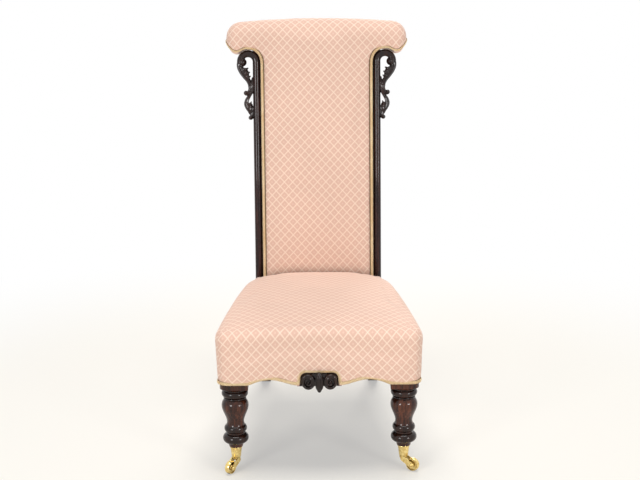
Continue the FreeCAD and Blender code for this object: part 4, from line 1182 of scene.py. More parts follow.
@dataclass
class BackUpholstery:
    """Tall padded back and T-shaped top under one continuous cloth."""

    low_u: float = -0.046
    half: float = 0.1335
    shoulder_half: float = 0.112
    shoulder_q: float = -0.0195
    crown_q: float = -0.0250
    rear_q: float = 0.0005
    crest_half: float = 0.2195
    crest_low_u: float = 0.5528
    crest_high_u: float = 0.6285
    crest_fall: float = 0.009
    arm_sag: float = 0.0120
    arm_start: float = 0.1800
    crest_front_q: float = -0.0225
    crest_rear_q: float = 0.0625
    top_radius: float = 0.034
    bottom_radius: float = 0.026
    end_top: float = 0.034
    end_bottom: float = 0.020
    end_depth: float = 0.026
    full_half: float = 0.2258
    full_high_u: float = 0.6305
    full_rear_q: float = 0.0642
    crook: Tuple[float, float] = (0.171, 0.522)
    wing_radius: float = 0.0385
    wing_low: float = 0.010
    wing_lap: float = 0.020
    wing_set: float = 0.003
    panel_lap: float = 0.030
    edge_q: float = -0.0060
    turn_in: float = 0.0045
    turn_q: float = -0.0140
    hang_length: float = 0.016
    room_share: float = 0.98
    arm_x: float = 0.1635
    end_facing: float = 0.62
    near_end: float = 0.9999
    hold: float = 0.004
    plump: float = 0.004
    unevenness: Tuple[float, float] = (0.0005, 0.045)
    fit_across: float = 0.020
    fit_up: Tuple[float, float] = (0.5, 0.6)
    fit_rear: float = 0.030
    voxel: float = 0.005

    def section(self, station: float) -> np.ndarray:
        """Outline of the T's bar at a place across it.

        Args:
            station: The x of the section.

        Returns:
            Rows of x, q and u round the bar.
        """
        def drawn_in(radius: float) -> float:
            """How far a face has curved in, near the bar's end."""
            short = max(radius - (self.crest_half - abs(station)), 0.0)
            return radius - math.sqrt(max(radius ** 2 - short ** 2, 0.0))

        fall = self.crest_fall * (station / self.crest_half) ** 2
        top = self.crest_high_u - fall - drawn_in(self.end_top)
        sag = self.arm_sag * eased((abs(station) - self.arm_start) / self.hang_length)
        bottom = self.crest_low_u - sag + drawn_in(self.end_bottom)
        front = self.crest_front_q + drawn_in(self.end_depth)
        rear = self.crest_rear_q - drawn_in(self.end_depth)
        room = min(top - bottom, rear - front) / 2
        high = min(self.top_radius, room * self.room_share)
        low = min(self.bottom_radius, room * self.room_share)
        corners = [(front + low, bottom + low, low, 1.0), (rear - low, bottom + low, low, 1.5),
                   (rear - high, top - high, high, 0.0), (front + high, top - high, high, 0.5)]
        outline = []
        for q, u, radius, turn in corners:
            for angle in np.linspace(turn, turn + 0.5, 9) * math.pi:
                outline.append((station, q + radius * math.cos(angle), u + radius * math.sin(angle)))
        return np.array(outline)

    def bar(self) -> Form:
        """The T's bar as a closed skin."""
        shares = np.sin(np.linspace(-1.0, 1.0, 61) * math.pi / 2) * self.near_end
        return closed_skin([self.section(self.crest_half * share) for share in shares])

    def panel(self) -> Form:
        """The padded panel between the posts as a closed skin.

        Returns:
            Its points and faces.
        """
        side = [(self.half, self.rear_q), (self.half, self.edge_q), (self.half - self.turn_in, self.turn_q),
                (self.shoulder_half, self.shoulder_q)]
        across = np.linspace(self.shoulder_half, -self.shoulder_half, 24)[1:-1]
        fall = self.shoulder_q - self.crown_q
        crown = [(x, self.crown_q + fall * (x / self.shoulder_half) ** 2) for x in across]
        outline = side + crown + [(-x, q) for x, q in side[::-1]]
        levels = np.linspace(self.low_u, self.crest_low_u + self.panel_lap, 40)
        return closed_skin([np.array([(x, q, u) for x, q in outline]) for u in levels])

    def wing(self, side: Side) -> Form:
        """The padding in the corner between panel, bar and bracket.

        Args:
            side: Which corner.

        Returns:
            Its points and faces.
        """
        x, u = self.crook
        angles = np.linspace(math.pi, math.pi / 2, 14)
        arc = [(x + self.wing_radius * math.cos(a), u + self.wing_radius * math.sin(a)) for a in angles]
        high = self.crest_low_u + self.wing_lap
        outline = arc + [(x, high), (self.shoulder_half, high), (self.shoulder_half, u - self.wing_low)]
        depths = np.linspace(self.shoulder_q + self.wing_set, self.rear_q, 5)
        return closed_skin([np.array([(side.value * a, q, b) for a, b in outline]) for q in depths])

    def build(self) -> Piece:
        """Makes the padded T, plumps it, puts it on its lean and maps its cloth.

        Returns:
            The finished back.
        """
        forms = [self.bar(), self.panel(), self.wing(Side.LEFT), self.wing(Side.RIGHT)]
        piece = new_piece("back_cover_cloth", *join_forms(forms), FABRIC)
        face_outwards(piece.data)
        melt(piece, self.voxel, 6)
        _, q, u = coordinates(piece.data).T
        held = (q > -self.hold) & (u < self.crest_low_u + self.hold)
        Pressure(cap=self.plump).plump(piece, held | (u < self.low_u + self.hold))
        smooth(piece, 3)
        ripple(piece, *self.unevenness)
        subdivide(piece)
        shape = self.fit(coordinates(piece.data))
        move_points(piece.data, BACK.place(shape))
        numbers = corner_points(piece.data)
        at_end = np.repeat([self.faces_end(face) for face in piece.data.polygons], 4)[:, None]
        write_uv(piece.data, np.where(at_end, self.wrap_end(shape)[numbers], self.lay_flat(shape)[numbers]))
        coat(piece, FABRIC)
        return dress(piece, "trellis_fabric", "back_cover", "back_stuffing", "crest_stuffing")

    def fit(self, points: np.ndarray) -> np.ndarray:
        """Brings the eased form back to its full size.

        Args:
            points: Rows of x, q and u.

        Returns:
            The rows, stretched across, up, and from front to rear.
        """
        x, q, u = points.T
        bar = np.clip((u - self.crest_low_u) / self.fit_across, 0.0, 1.0)
        wide = 1 + (self.full_half / np.abs(x).max() - 1) * bar
        tall = u + (self.full_high_u - u.max()) * np.interp(u, self.fit_up, (0.0, 1.0))
        rear = q + (self.full_rear_q - q.max()) * np.clip(q / self.fit_rear, 0.0, 1.0)
        return np.stack([x * wide, rear, tall], axis=1)

    def faces_end(self, face: bpy.types.MeshPolygon) -> bool:
        """Whether a face belongs to an end of the T's bar."""
        at_end = abs(face.center.x) > self.crest_half - self.end_depth
        return at_end and abs(face.normal.x) > self.end_facing

    def wrap_end(self, points: np.ndarray) -> np.ndarray:
        """Where points at the T's ends lay on the uncut cloth, which is drawn round from the front.

        Args:
            points: Rows of x, q and u.

        Returns:
            Rows of distance across and along the cloth.
        """
        x, q, u = points.T
        radius = self.end_depth
        out = np.abs(x) - (self.crest_half - radius)
        front, rear = self.crest_front_q + radius, self.crest_rear_q - radius
        turned = radius * np.arctan2(out, np.maximum(front - q, 1e-6))
        behind = radius * np.arctan2(np.maximum(q - rear, 0.0), np.maximum(out, 1e-6))
        past = radius * math.pi / 2 + np.minimum(q, rear) - front + behind
        across = self.crest_half - radius + np.where(q < front, turned, past)
        return np.stack([np.sign(x) * across, u], axis=1)

    def lay_flat(self, points: np.ndarray) -> np.ndarray:
        """Where each point lay on the uncut cloth, up the front and over the top.

        Args:
            points: Rows of x, q and u.

        Returns:
            Rows of distance across and along the cloth.
        """
        x, q, u = points.T
        radius, low = self.top_radius, self.bottom_radius
        turn_u = self.crest_high_u - radius
        front_turn, rear_turn = self.crest_front_q + radius, self.crest_rear_q - radius
        over = turn_u + radius * math.pi / 2
        flat_top = rear_turn - front_turn
        front_arc = turn_u + radius * np.arctan2(u - turn_u, np.maximum(front_turn - q, 1e-6))
        rear_angle = math.pi / 2 - np.arctan2(u - turn_u, np.maximum(q - rear_turn, 1e-6))
        rear_arc = over + flat_top + radius * rear_angle
        along = np.where(q > rear_turn, rear_arc, over + q - front_turn)
        along = np.where(q < front_turn, front_arc, along)
        behind = over + flat_top + radius * math.pi / 2 + (turn_u - u)
        along = np.where(u < turn_u, np.where(q > (front_turn + rear_turn) / 2, behind, u), along)
        low_u, low_q = self.crest_low_u + low, self.crest_front_q + low
        under = low_u - low * np.arctan2(low_u - u, np.maximum(low_q - q, 1e-6))
        under = np.where(q > low_q, low_u - low * math.pi / 2 - (q - low_q), under)
        beneath = (np.abs(x) > self.arm_x) & (u < low_u) & (q < self.crest_rear_q - low)
        along = np.where(beneath, under, along)
        start = self.crest_half - self.end_depth
        past = np.clip((np.abs(x) - start) / self.end_depth, 0.0, 1.0)
        across = np.where(np.abs(x) > start, np.sign(x) * (start + self.end_depth * np.arcsin(past)), x)
        return np.stack([across, along], axis=1)


class BraidTree(Bench):
    """The node group that lays braid along the edges of a mesh."""

    NAME = "gimp_braid"
    SIZES = ("Width", "Pitch", "Tape thickness", "Loop rise")
    COLOURS = ("Thread", "Edge shadow")

    def __init__(self) -> None:
        """Makes the group with its named inputs, the path and all that lies along it."""
        super().__init__(bpy.data.node_groups.new(self.NAME, "GeometryNodeTree"))
        face = self.tree.interface
        face.new_socket("Geometry", in_out="INPUT", socket_type="NodeSocketGeometry")
        for name in self.SIZES:
            face.new_socket(name, in_out="INPUT", socket_type="NodeSocketFloat")
        for name in self.COLOURS:
            face.new_socket(name, in_out="INPUT", socket_type="NodeSocketMaterial")
        face.new_socket("Geometry", in_out="OUTPUT", socket_type="NodeSocketGeometry")
        self.given = self.node("NodeGroupInput")
        self.outward = self.run("GeometryNodeInputNamedAttribute", {"Name": "outward"},
                                data_type="FLOAT_VECTOR")
        curve = self.run("GeometryNodeMeshToCurve", {0: self.given.outputs["Geometry"]})
        self.path = self.run("GeometryNodeResampleCurve",
                             {0: curve, "Length": self.given.outputs["Pitch"]}, mode="LENGTH")
        tangent = self.node("GeometryNodeInputTangent").outputs[0]
        self.turn = self.run("FunctionNodeAxesToRotation", {0: self.outward, 1: tangent},
                             primary_axis="Z", secondary_axis="X")
        self.weave()

    def size(self, name: str, factor: float) -> Socket:
        """A named size times a number."""
        return self.run("ShaderNodeMath", {0: self.given.outputs[name], 1: factor}, operation="MULTIPLY")

    def threads(self, shape: Point, aside: float, raised: float, fineness: int = 1) -> Socket:
        """A row of small rounded threads, one at each step of the path.

        Args:
            shape: Half sizes as shares of the pitch, the width and the loops' rise.
            aside: How far across the braid they lie, as a share of its width.
            raised: How high they lie, in tape thicknesses.
            fineness: Subdivisions of each thread.

        Returns:
            The threads' geometry.
        """
        ball = self.run("GeometryNodeMeshIcoSphere", {"Radius": 1.0, "Subdivisions": fineness})
        names = ("Pitch", "Width", "Loop rise")
        sizes = {axis: self.size(name, share) for axis, (name, share) in enumerate(zip(names, shape))}
        scale = self.run("ShaderNodeCombineXYZ", sizes)
        bead = self.run("GeometryNodeTransform", {0: ball, "Scale": scale})
        shift = self.run("ShaderNodeCombineXYZ",
                         {1: self.size("Width", aside), 2: self.size("Tape thickness", raised)})
        moved = self.run("GeometryNodeTransform", {0: bead, "Translation": shift})
        laid = self.run("GeometryNodeInstanceOnPoints",
                        {"Points": self.path, "Instance": moved, "Rotation": self.turn})
        return self.run("GeometryNodeRealizeInstances", {0: laid})

    def tape(self) -> Socket:
        """The flat tape that carries the threads.

        Returns:
            The tape's geometry.
        """
        curve = self.run("GeometryNodeSetCurveNormal", {"Curve": self.path, "Normal": self.outward},
                         mode="FREE")
        strip = self.run("GeometryNodeCurvePrimitiveQuadrilateral",
                         {"Width": self.size("Tape thickness", 1.6), "Height": self.size("Width", 0.92)})
        return self.run("GeometryNodeCurveToMesh",
                        {"Curve": curve, "Profile Curve": strip, "Fill Caps": True})

    def join(self, parts: Sequence[Socket]) -> Socket:
        """Several geometries as one.

        Args:
            parts: The geometries.

        Returns:
            The joined geometry.
        """
        made = self.node("GeometryNodeJoinGeometry")
        for part in parts:
            self.feed(made.inputs[0], part)
        return made.outputs[0]

    def weave(self) -> None:
        """Lays loops, edge cords, tape and rows of dark dots of painted shadow along the edges, colours
        them and ends the group.
        """
        loops = self.threads((0.40, 0.36, 1.0), 0.0, 1.0, fineness=2)
        cords = [self.threads((0.62, 0.10, 0.85), aside, 0.9) for aside in (-0.42, 0.42)]
        # Rows of dark dots just outside the braid, painted shadow at its edges.
        shadow_dots = [self.threads((0.30, 0.07, 0.5), aside, 0.2) for aside in (-0.58, 0.58)]
        coloured = []
        for colour, parts in zip(self.COLOURS, ([loops, *cords, self.tape()], shadow_dots)):
            whole = self.run("GeometryNodeRealizeInstances", {0: self.join(parts)})
            paint = {0: whole, "Material": self.given.outputs[colour]}
            coloured.append(self.run("GeometryNodeSetMaterial", paint))
        rounded = self.run("GeometryNodeSetShadeSmooth", {0: self.join(coloured)})
        self.feed(self.node("NodeGroupOutput").inputs[0], rounded)


@dataclass
class GimpBraid:
    """Narrow upholsterer's braid: a tape with corded edges and a row of cross loops, laid along a path."""

    width: float = 0.0066
    pitch: float = 0.0027
    tape: float = 0.0009
    loop_rise: float = 0.0011

    def lay(self, name: str, runs: Sequence[Run]) -> Piece:
        """Lays braid along runs.

        Args:
            name: The piece's name.
            runs: For each run its points, and the direction in which the braid faces at each.

        Returns:
            The braid as a plain mesh.
        """
        points = np.vstack([run for run, _ in runs])
        edges = []
        start = 0
        for run, _ in runs:
            edges += [(start + i, start + i + 1) for i in range(len(run) - 1)]
            start += len(run)
        mesh = bpy.data.meshes.new(name)
        mesh.from_pydata([tuple(p) for p in points], edges, [])
        facing = mesh.attributes.new("outward", "FLOAT_VECTOR", "POINT")
        facing.data.foreach_set("vector", np.vstack([way for _, way in runs]).astype(np.float32).ravel())
        piece = bpy.data.objects.new(name, mesh)
        bpy.context.scene.collection.objects.link(piece)
        modifier = piece.modifiers.new("braid", "NODES")
        tree = bpy.data.node_groups.get(BraidTree.NAME) or BraidTree().tree
        modifier.node_group = tree
        values = {"Width": self.width, "Pitch": self.pitch, "Tape thickness": self.tape,
                  "Loop rise": self.loop_rise, "Thread": BRAID.material(), "Edge shadow": BRAID_EDGE_SHADOW.material()}
        for item in tree.interface.items_tree:
            if item.in_out == "INPUT" and item.name in values:
                modifier[item.identifier] = values[item.name]
        bake_modifiers(piece)
        return piece


@dataclass
class BraidTrim:
    """All the chair's braid: round the seat's foot, up the back and round the outside back."""

    seat: SeatUpholstery
    back: BackUpholstery
    braid: GimpBraid = field(default_factory=GimpBraid)
    lift: float = 0.0006
    rear_gap: float = 0.001
    notch_foot: Route = ((0.0, 0.2195), (0.0012, 0.2125))
    wave_start: int = 4
    post_x: float = 0.1365
    face_q: float = -0.0062
    low_u: float = -0.040
    crook_gap: float = 0.002
    crook_radius: float = 0.0345
    crook_end: float = math.pi * 0.42
    crook_set: float = 0.004
    arm_route: Route = (
        (0.1890, -0.0130, 0.5490), (0.2020, -0.0120, 0.5455), (0.2140, -0.0080, 0.5520),
        (0.2220, 0.0040, 0.5680), (0.2245, 0.0190, 0.5760), (0.2220, 0.0340, 0.5690),
        (0.2145, 0.0480, 0.5540), (0.2010, 0.0550, 0.5480), (0.1760, 0.0560, 0.5570),
        (0.1420, 0.0560, 0.5600), (0.0700, 0.0560, 0.5600), (0.0, 0.0560, 0.5600))
    rear_half: float = 0.1340
    rear_low_u: float = -0.1170
    rear_high_u: float = 0.5490
    rear_q: float = 0.0320
    rear_turn: float = 0.006
    rear_cut: float = 0.3
    rounds: int = 4

    def seat_run(self) -> Run:
        """Path along the seat's lower edge and round the opening.

        Returns:
            Points and the ways they face.
        """
        seat, half = self.seat, self.braid.width / 2
        outline, corner = seat.half_ring(-self.lift, BACK.front_y(seat.side_foot_z) - self.rear_gap)
        along = distances(outline)
        low = [(seat.notch_half + half + out, z) for out, z in self.notch_foot]
        wave = smooth_path(seat.front_foot[::-1], 40)[self.wave_start:] + (0.0, half)
        ends = [(place, seat.side_foot_z + half) for place in (along[corner], along[-1])]
        top = (0.0, seat.notch_top_z + half)
        foot = even_path(np.vstack([[top], seat.notch_arc(half, 10), low, wave, ends]), 320)
        right = np.column_stack([read_line(foot[:, 0], along, outline), foot[:, 1]])
        ahead = read_line(foot[:, 0], along, np.gradient(outline, axis=0))
        ahead /= np.maximum(np.linalg.norm(ahead, axis=1, keepdims=True), 1e-9)
        facing = np.column_stack([ahead[:, 1], -ahead[:, 0], np.zeros(len(ahead))])
        mirror = (-1.0, 1.0, 1.0)
        return np.vstack([right[:0:-1] * mirror, right]), np.vstack([facing[:0:-1] * mirror, facing])

    def back_run(self, side: Side, cover: BVHTree) -> Run:
        """Path up one side of the back, round the bracket and along the T's lower edge.

        Args:
            side: Which side.
            cover: The padded back's skin.

        Returns:
            Points and the ways they face.
        """
        x, u = self.back.crook
        radius = self.crook_radius
        levels = np.linspace(self.low_u, u - self.crook_gap, 60)
        free = [(self.post_x, self.face_q, level) for level in levels]
        arc = []
        for share in np.linspace(0.0, 1.0, 16):
            angle = math.pi + (self.crook_end - math.pi) * share
            arc.append((x + radius * math.cos(angle), self.face_q - self.crook_set * share,
                        u + radius * math.sin(angle)))
        free += arc[:-2]
        spots = list(BACK.place(np.array(free) * (side.value, 1.0, 1.0)))
        ways = list(-BACK.rearward(len(free)))
        guide = smooth_path([arc[-2], *self.arm_route], 150)
        for point in BACK.place(guide * (side.value, 1.0, 1.0)):
            spot, normal, _, _ = cover.find_nearest(Vector(point))
            spots.append(np.array(spot + normal * self.lift))
            ways.append(np.array(normal))
        line, facing = np.array(spots), np.array(ways)
        for _ in range(self.rounds):
            line[1:-1] = (line[:-2] + 2 * line[1:-1] + line[2:]) / 4
            facing[1:-1] = (facing[:-2] + 2 * facing[1:-1] + facing[2:]) / 4
        return line, facing / np.linalg.norm(facing, axis=1, keepdims=True)

    def rear_run(self) -> Run:
        """Path down one side of the outside back, across its foot and up the other.

        Returns:
            Points and the ways they face.
        """
        half, low, turn = self.rear_half, self.rear_low_u, self.rear_turn
        cut = turn * self.rear_cut
        corner = [(half, self.rear_high_u), (half, low + turn), (half - cut, low + cut), (half - turn, low)]
        path = [(x, self.rear_q, u) for x, u in corner] + [(-x, self.rear_q, u) for x, u in corner[::-1]]
        line = BACK.place(even_path(np.array(path), 400))
        return line, BACK.rearward(len(line))

    def build(self, cover: Piece) -> List[Piece]:
        """Lays every run.

        Args:
            cover: The finished padded back.

        Returns:
            The braid pieces.
        """
        faces = [tuple(face.vertices) for face in cover.data.polygons]
        tree = BVHTree.FromPolygons([vertex.co for vertex in cover.data.vertices], faces)
        seat = self.braid.lay("seat_gimp", [self.seat_run()])
        front = self.braid.lay("back_gimp_front", [self.back_run(side, tree) for side in Side])
        rear = self.braid.lay("back_gimp_rear", [self.rear_run()])
        return [dress(seat, "braid", "seat_braid"), dress(front, "braid", "back_braid_front"),
                dress(rear, "braid", "back_braid_rear")]


@dataclass
class OutsideBack:
    """The cloth stretched over the back of the frame."""

    half: float = 0.1372
    low_u: float = -0.1205
    high_u: float = 0.5515
    rear_q: float = 0.0311
    hollow: float = 0.0002
    thickness: float = 0.0010
    columns: int = 29
    rows: int = 69

    def build(self) -> Piece:
        """Makes the stretched sheet, drawn in slightly between its edges.

        Returns:
            The finished sheet.
        """
        tall = self.high_u - self.low_u
        points = []
        for share in np.linspace(0.0, 1.0, self.rows):
            for side in np.linspace(-1.0, 1.0, self.columns):
                sunk = self.hollow * (1 - side ** 2) * (1 - (2 * share - 1) ** 4)
                points.append((self.half * side, self.rear_q - sunk, self.low_u + tall * share))
        flat = np.array(points)
        faces = [face[::-1] for face in grid_faces(self.columns, self.rows)]
        piece = new_piece("outside_back_cloth", BACK.place(flat), faces, FABRIC)
        write_uv(piece.data, flat[corner_points(piece.data)][:, [0, 2]])
        thicken(piece, self.thickness)
        return dress(piece, "trellis_fabric", "outside_back")


@dataclass
class DustCover:
    """Black cloth tacked under the seat frame, notched round the front legs."""

    z: float = 0.2249
    front_y: float = -0.309
    leg_y: float = -0.2605
    leg_half: float = 0.1530
    front_half: float = 0.1985
    rear_half: float = 0.1465
    rear_y: float = 0.1460
    sag: float = 0.004
    thickness: float = 0.0009
    core_share: float = 0.94
    inner: int = 24
    outer: int = 5
    front_rows: int = 5
    rear_rows: int = 35

    def half_at(self, y: float) -> float:
        """Half width of the cloth at y."""
        share = (y - self.leg_y) / (self.rear_y - self.leg_y)
        return self.front_half + (self.rear_half - self.front_half) * max(share, 0.0)

    def build(self) -> Piece:
        """Makes the cloth with a slight sag.

        Returns:
            The finished sheet.
        """
        length = self.rear_y - self.front_y
        rows = list(np.linspace(self.front_y, self.leg_y, self.front_rows + 1))
        rows += list(np.linspace(self.leg_y, self.rear_y, self.rear_rows + 1))[1:]
        points, numbers = [], []
        for y in rows:
            half = self.half_at(y)
            core = min(self.leg_half, half * self.core_share)
            xs = list(np.linspace(-core, core, self.inner + 1))
            if y >= self.leg_y - 1e-9:
                wide = list(np.linspace(core, half, self.outer + 1))[1:]
                xs = [-x for x in wide[::-1]] + xs + wide
            deepest = self.sag * (1 - (2 * (y - self.front_y) / length - 1) ** 2)
            line = []
            for x in xs:
                line.append(len(points))
                points.append((x, y, self.z - deepest * (1 - (x / half) ** 2)))
            numbers.append(line)
        faces = []
        for near, far in zip(numbers, numbers[1:]):
            if len(near) < len(far):
                far = far[self.outer:-self.outer]
            faces += [(near[i], far[i], far[i + 1], near[i + 1]) for i in range(len(near) - 1)]
        piece = new_piece("dust_cover_cloth", np.array(points), faces, DUST_CLOTH)
        thicken(piece, self.thickness)
        area = 2 * self.leg_half * (self.leg_y - self.front_y)
        area += (self.front_half + self.rear_half) * (self.rear_y - self.leg_y)
        return dress(piece, "dust_cloth", "dust_cover")


class Carved:
    """A shape that a carving is made of."""

    ROUND = 28

    def forms(self) -> List[Form]:
        """The shape as closed forms."""
        raise NotImplementedError


@dataclass(frozen=True)
class Ball(Carved):
    """A ball or egg, with its half sizes across, in depth and up."""

    centre: Point
    radii: Point

    def forms(self) -> List[Form]:
        """The ball as a closed form.

        Returns:
            One form.
        """
        work = bmesh.new()
        bmesh.ops.create_uvsphere(work, u_segments=self.ROUND, v_segments=self.ROUND // 2, radius=1.0)
        points = np.array([v.co for v in work.verts]) * self.radii + self.centre
        faces = [[v.index for v in face.verts] for face in work.faces]
        work.free()
        return [(points, faces)]


@dataclass(frozen=True)
class Bar(Carved):
    """A bar along a path, thick and thin by turns and rounded at its ends.

    The path's points are across, depth and up. The radii are half widths at even steps along it. Flat is
    the section's depth as a share of its width, and groove that of its flutes as a share of the radius.
    """

    path: Route
    radii: Tuple[float, ...]
    flat: float = 1.0
    flutes: int = 0
    groove: float = 0.0
    sections: int = 40
    end_share: float = 0.98

    def forms(self) -> List[Form]:
        """The bar and its ends as closed forms.

        Returns:
            Three forms.
        """
        line = smooth_path(self.path, self.sections)
        ahead = np.gradient(line, axis=0)
        ahead /= np.maximum(np.linalg.norm(ahead, axis=1, keepdims=True), 1e-12)
        steps = np.linspace(0.0, 1.0, self.sections)
        sizes = np.interp(steps, np.linspace(0.0, 1.0, len(self.radii)), self.radii)
        turns = np.linspace(0.0, 2 * math.pi, self.ROUND, endpoint=False)
        ridges = 1 + self.groove * np.cos(self.flutes * turns)
        rings = []
        for spot, way, size in zip(line, ahead, sizes):
            out = np.cross(way, (0.0, 1.0, 0.0))
            out /= max(np.linalg.norm(out), 1e-9)
            deep = np.cross(out, way) * self.flat
            ring = np.outer(ridges * np.cos(turns), out) + np.outer(ridges * np.sin(turns), deep)
            rings.append(spot + size * ring)
        made = [closed_skin(rings)]
        for spot, size in ((line[0], sizes[0]), (line[-1], sizes[-1])):
            end = size * self.end_share
            made += Ball(tuple(spot), (end, end * self.flat, end)).forms()
        return made


@dataclass(frozen=True)
class Roll(Carved):
    """A spiral roll that tightens to its eye, with turns negative for the other way."""

    eye: Point
    radius: float
    start: float
    turns: float
    thick: float
    tighten: float = 0.80
    sink: float = 0.0015
    thinning: Point = (1.0, 0.8, 0.55)

    def forms(self) -> List[Form]:
        """The roll as a bar that thins towards the eye.

        Returns:
            The bar's forms.
        """
        path = []
        for share in np.linspace(0.0, 1.0, 26):
            angle = self.start + 2 * math.pi * self.turns * share
            reach = self.radius * (1 - self.tighten * share)
            path.append((self.eye[0] + reach * math.cos(angle), self.eye[1] - self.sink * share,
                         self.eye[2] + reach * math.sin(angle)))
        return Bar(tuple(path), tuple(self.thick * share for share in self.thinning), sections=70).forms()


def carve(name: str, shapes: Sequence[Carved], voxel: float, rounds: int) -> Piece:
    """Melts carved shapes into one skin of carved wood.

    Args:
        name: The piece's name.
        shapes: The shapes.
        voxel: Fineness of the skin.
        rounds: Rounds of smoothing.

    Returns:
        The piece.
    """
    forms = [form for shape in shapes for form in shape.forms()]
    piece = new_piece(name, *join_forms(forms), WOOD_CARVED)
    melt(piece, voxel, rounds)
    coat(piece, WOOD_CARVED)
    return piece


@dataclass
class ScrollBracket:
    """Carved bracket under an arm of the T: crook, eye, leaf, knob and lower scroll."""

    side: Side
    voxel: float = 0.0009
    bow_centre: Tuple[float, float] = (0.171, 0.522)
    bow_radius: float = 0.020
    bow_foot: float = 0.004
    bow_end: Point = (0.1918, 0.0, 0.5120)
    bow_radii: Tuple[float, ...] = (0.0090, 0.0090, 0.0088, 0.0084, 0.0080)
    eye: Ball = Ball((0.1850, 0.0, 0.5210), (0.0104, 0.0100, 0.0104))
    eye_roll: Roll = Roll((0.1850, -0.0088, 0.5210), 0.0066, 0.5 * math.pi, -1.3, 0.0028)
    leaf_spine: Bar = Bar(
        ((0.1930, 0.0, 0.5180), (0.1915, 0.0, 0.5080), (0.1865, 0.0, 0.4980), (0.1790, 0.0, 0.4870),
         (0.1715, 0.0, 0.4760), (0.1665, 0.0, 0.4640)),
        (0.0068, 0.0072, 0.0074, 0.0068, 0.0056, 0.0048), flat=1.1, flutes=6, groove=0.10, sections=60)
    leaf_blade: Bar = Bar(
        ((0.1850, 0.0, 0.5040), (0.1800, 0.0, 0.4960), (0.1740, 0.0, 0.4850)),
        (0.0060, 0.0098, 0.0100, 0.0060), flat=0.6, flutes=7, groove=0.09)
    teeth: Tuple[Tuple[Route, float], ...] = (
        (((0.1870, 0.5040), (0.1790, 0.5030), (0.1712, 0.5068)), 0.0056),
        (((0.1830, 0.4960), (0.1745, 0.4935), (0.1672, 0.4968)), 0.0054),
        (((0.1780, 0.4880), (0.1710, 0.4845), (0.1655, 0.4870)), 0.0046))
    tooth_depths: Point = (0.0030, 0.0051, 0.0033)
    tooth_bend: float = 0.85
    tooth_tip: float = 0.0012
    tooth_flat: float = 0.75
    knob_stem: Bar = Bar(
        ((0.1675, 0.0, 0.4640), (0.1672, 0.0, 0.4540), (0.1715, 0.0, 0.4460), (0.1760, 0.0, 0.4435)),
        (0.0050, 0.0046, 0.0042, 0.0040), sections=30)
    knob_roll: Roll = Roll((0.1770, -0.0005, 0.4455), 0.0046, 1.4 * math.pi, 1.2, 0.0031)
    knob: Tuple[Ball, ...] = (
        Ball((0.1770, -0.0030, 0.4455), (0.0030, 0.0048, 0.0030)),
        Ball((0.1770, 0.0030, 0.4455), (0.0058, 0.0042, 0.0058)))
    leaf_seat: Ball = Ball((0.1605, 0.0005, 0.4640), (0.0048, 0.0050, 0.0210))
    lower_spine: Bar = Bar(
        ((0.1625, 0.0, 0.4480), (0.1690, 0.0, 0.4370), (0.1750, 0.0, 0.4270), (0.1765, 0.0, 0.4160),
         (0.1725, 0.0, 0.4050), (0.1660, 0.0, 0.3960), (0.1640, 0.0, 0.3870)),
        (0.0042, 0.0040, 0.0050, 0.0060, 0.0052, 0.0040, 0.0036), flat=1.15, flutes=5, groove=0.09,
        sections=60)
    lower_roll: Roll = Roll((0.1690, -0.0030, 0.4105), 0.0050, 0.1 * math.pi, 1.1, 0.0028)
    lower_blade: Bar = Bar(
        ((0.1665, 0.0, 0.4140), (0.1668, 0.0, 0.4060), (0.1662, 0.0, 0.3960)),
        (0.0058, 0.0084, 0.0084, 0.0060), flat=0.7, flutes=7, groove=0.10, sections=30)
    curl: Route = ((0.1740, 0.4150), (0.1670, 0.4185), (0.1640, 0.4240))
    curl_depths: Point = (0.0032, 0.00416, 0.0032)
    curl_radii: Point = (0.0036, 0.0030, 0.0009)
    curl_flat: float = 0.7
    button: Tuple[Ball, ...] = (
        Ball((0.1665, -0.0010, 0.3830), (0.0058, 0.0062, 0.0056)),
        Ball((0.1672, -0.0060, 0.3832), (0.0030, 0.0026, 0.0030)))
    lower_seat: Ball = Ball((0.1605, 0.0005, 0.3960), (0.0046, 0.0048, 0.0160))

    def build(self) -> Piece:
        """Carves the bracket.

        Returns:
            The finished bracket.
        """
        shapes = [self.bow(), self.eye, self.eye_roll, self.leaf_spine, self.leaf_blade]
        for way, size in self.teeth:
            radii = (size, size * self.tooth_bend, self.tooth_tip)
            shapes += self.pair(way, self.tooth_depths, radii, self.tooth_flat, 24)
        shapes += [self.knob_stem, self.knob_roll, *self.knob, self.leaf_seat]
        shapes += [self.lower_spine, self.lower_roll, self.lower_blade]
        shapes += self.pair(self.curl, self.curl_depths, self.curl_radii, self.curl_flat, 20)
        shapes += [*self.button, self.lower_seat]
        piece = carve("carved_bracket_" + self.side.label, shapes, self.voxel, 3)
        points = coordinates(piece.data) * (self.side.value, 1.0, 1.0)
        move_points(piece.data, BACK.place(points))
        if self.side is Side.LEFT:
            piece.data.flip_normals()
        return dress(piece, "polished_hardwood", "scroll_bracket_" + self.side.label)

    def bow(self) -> Bar:
        """The round bar that carries the post's bead over and down into the eye.

        Returns:
            The bar.
        """
        x, u = self.bow_centre
        radius = self.bow_radius
        path = [(x - radius, 0.0, u - self.bow_foot)]
        for angle in np.linspace(math.pi, 0.0, 13):
            path.append((x + radius * math.cos(angle), 0.0, u + radius * math.sin(angle)))
        return Bar((*path, self.bow_end), self.bow_radii, sections=60)

    def pair(self, way: Route, depths: Point, radii: Point, flat: float, sections: int) -> List[Bar]:
        """Two like bars, one in front of the bracket's middle and one behind.

        Args:
            way: Points as across and up.
            depths: How far from the middle each point lies.
            radii: Half widths along the way.
            flat: Depth of the section as a share of its width.
            sections: Number of sections.

        Returns:
            The two bars.
        """
        bars = []
        for sign in (-1.0, 1.0):
            path = tuple((x, sign * depth, u) for (x, u), depth in zip(way, depths))
            bars.append(Bar(path, radii, flat=flat, sections=sections))
        return bars


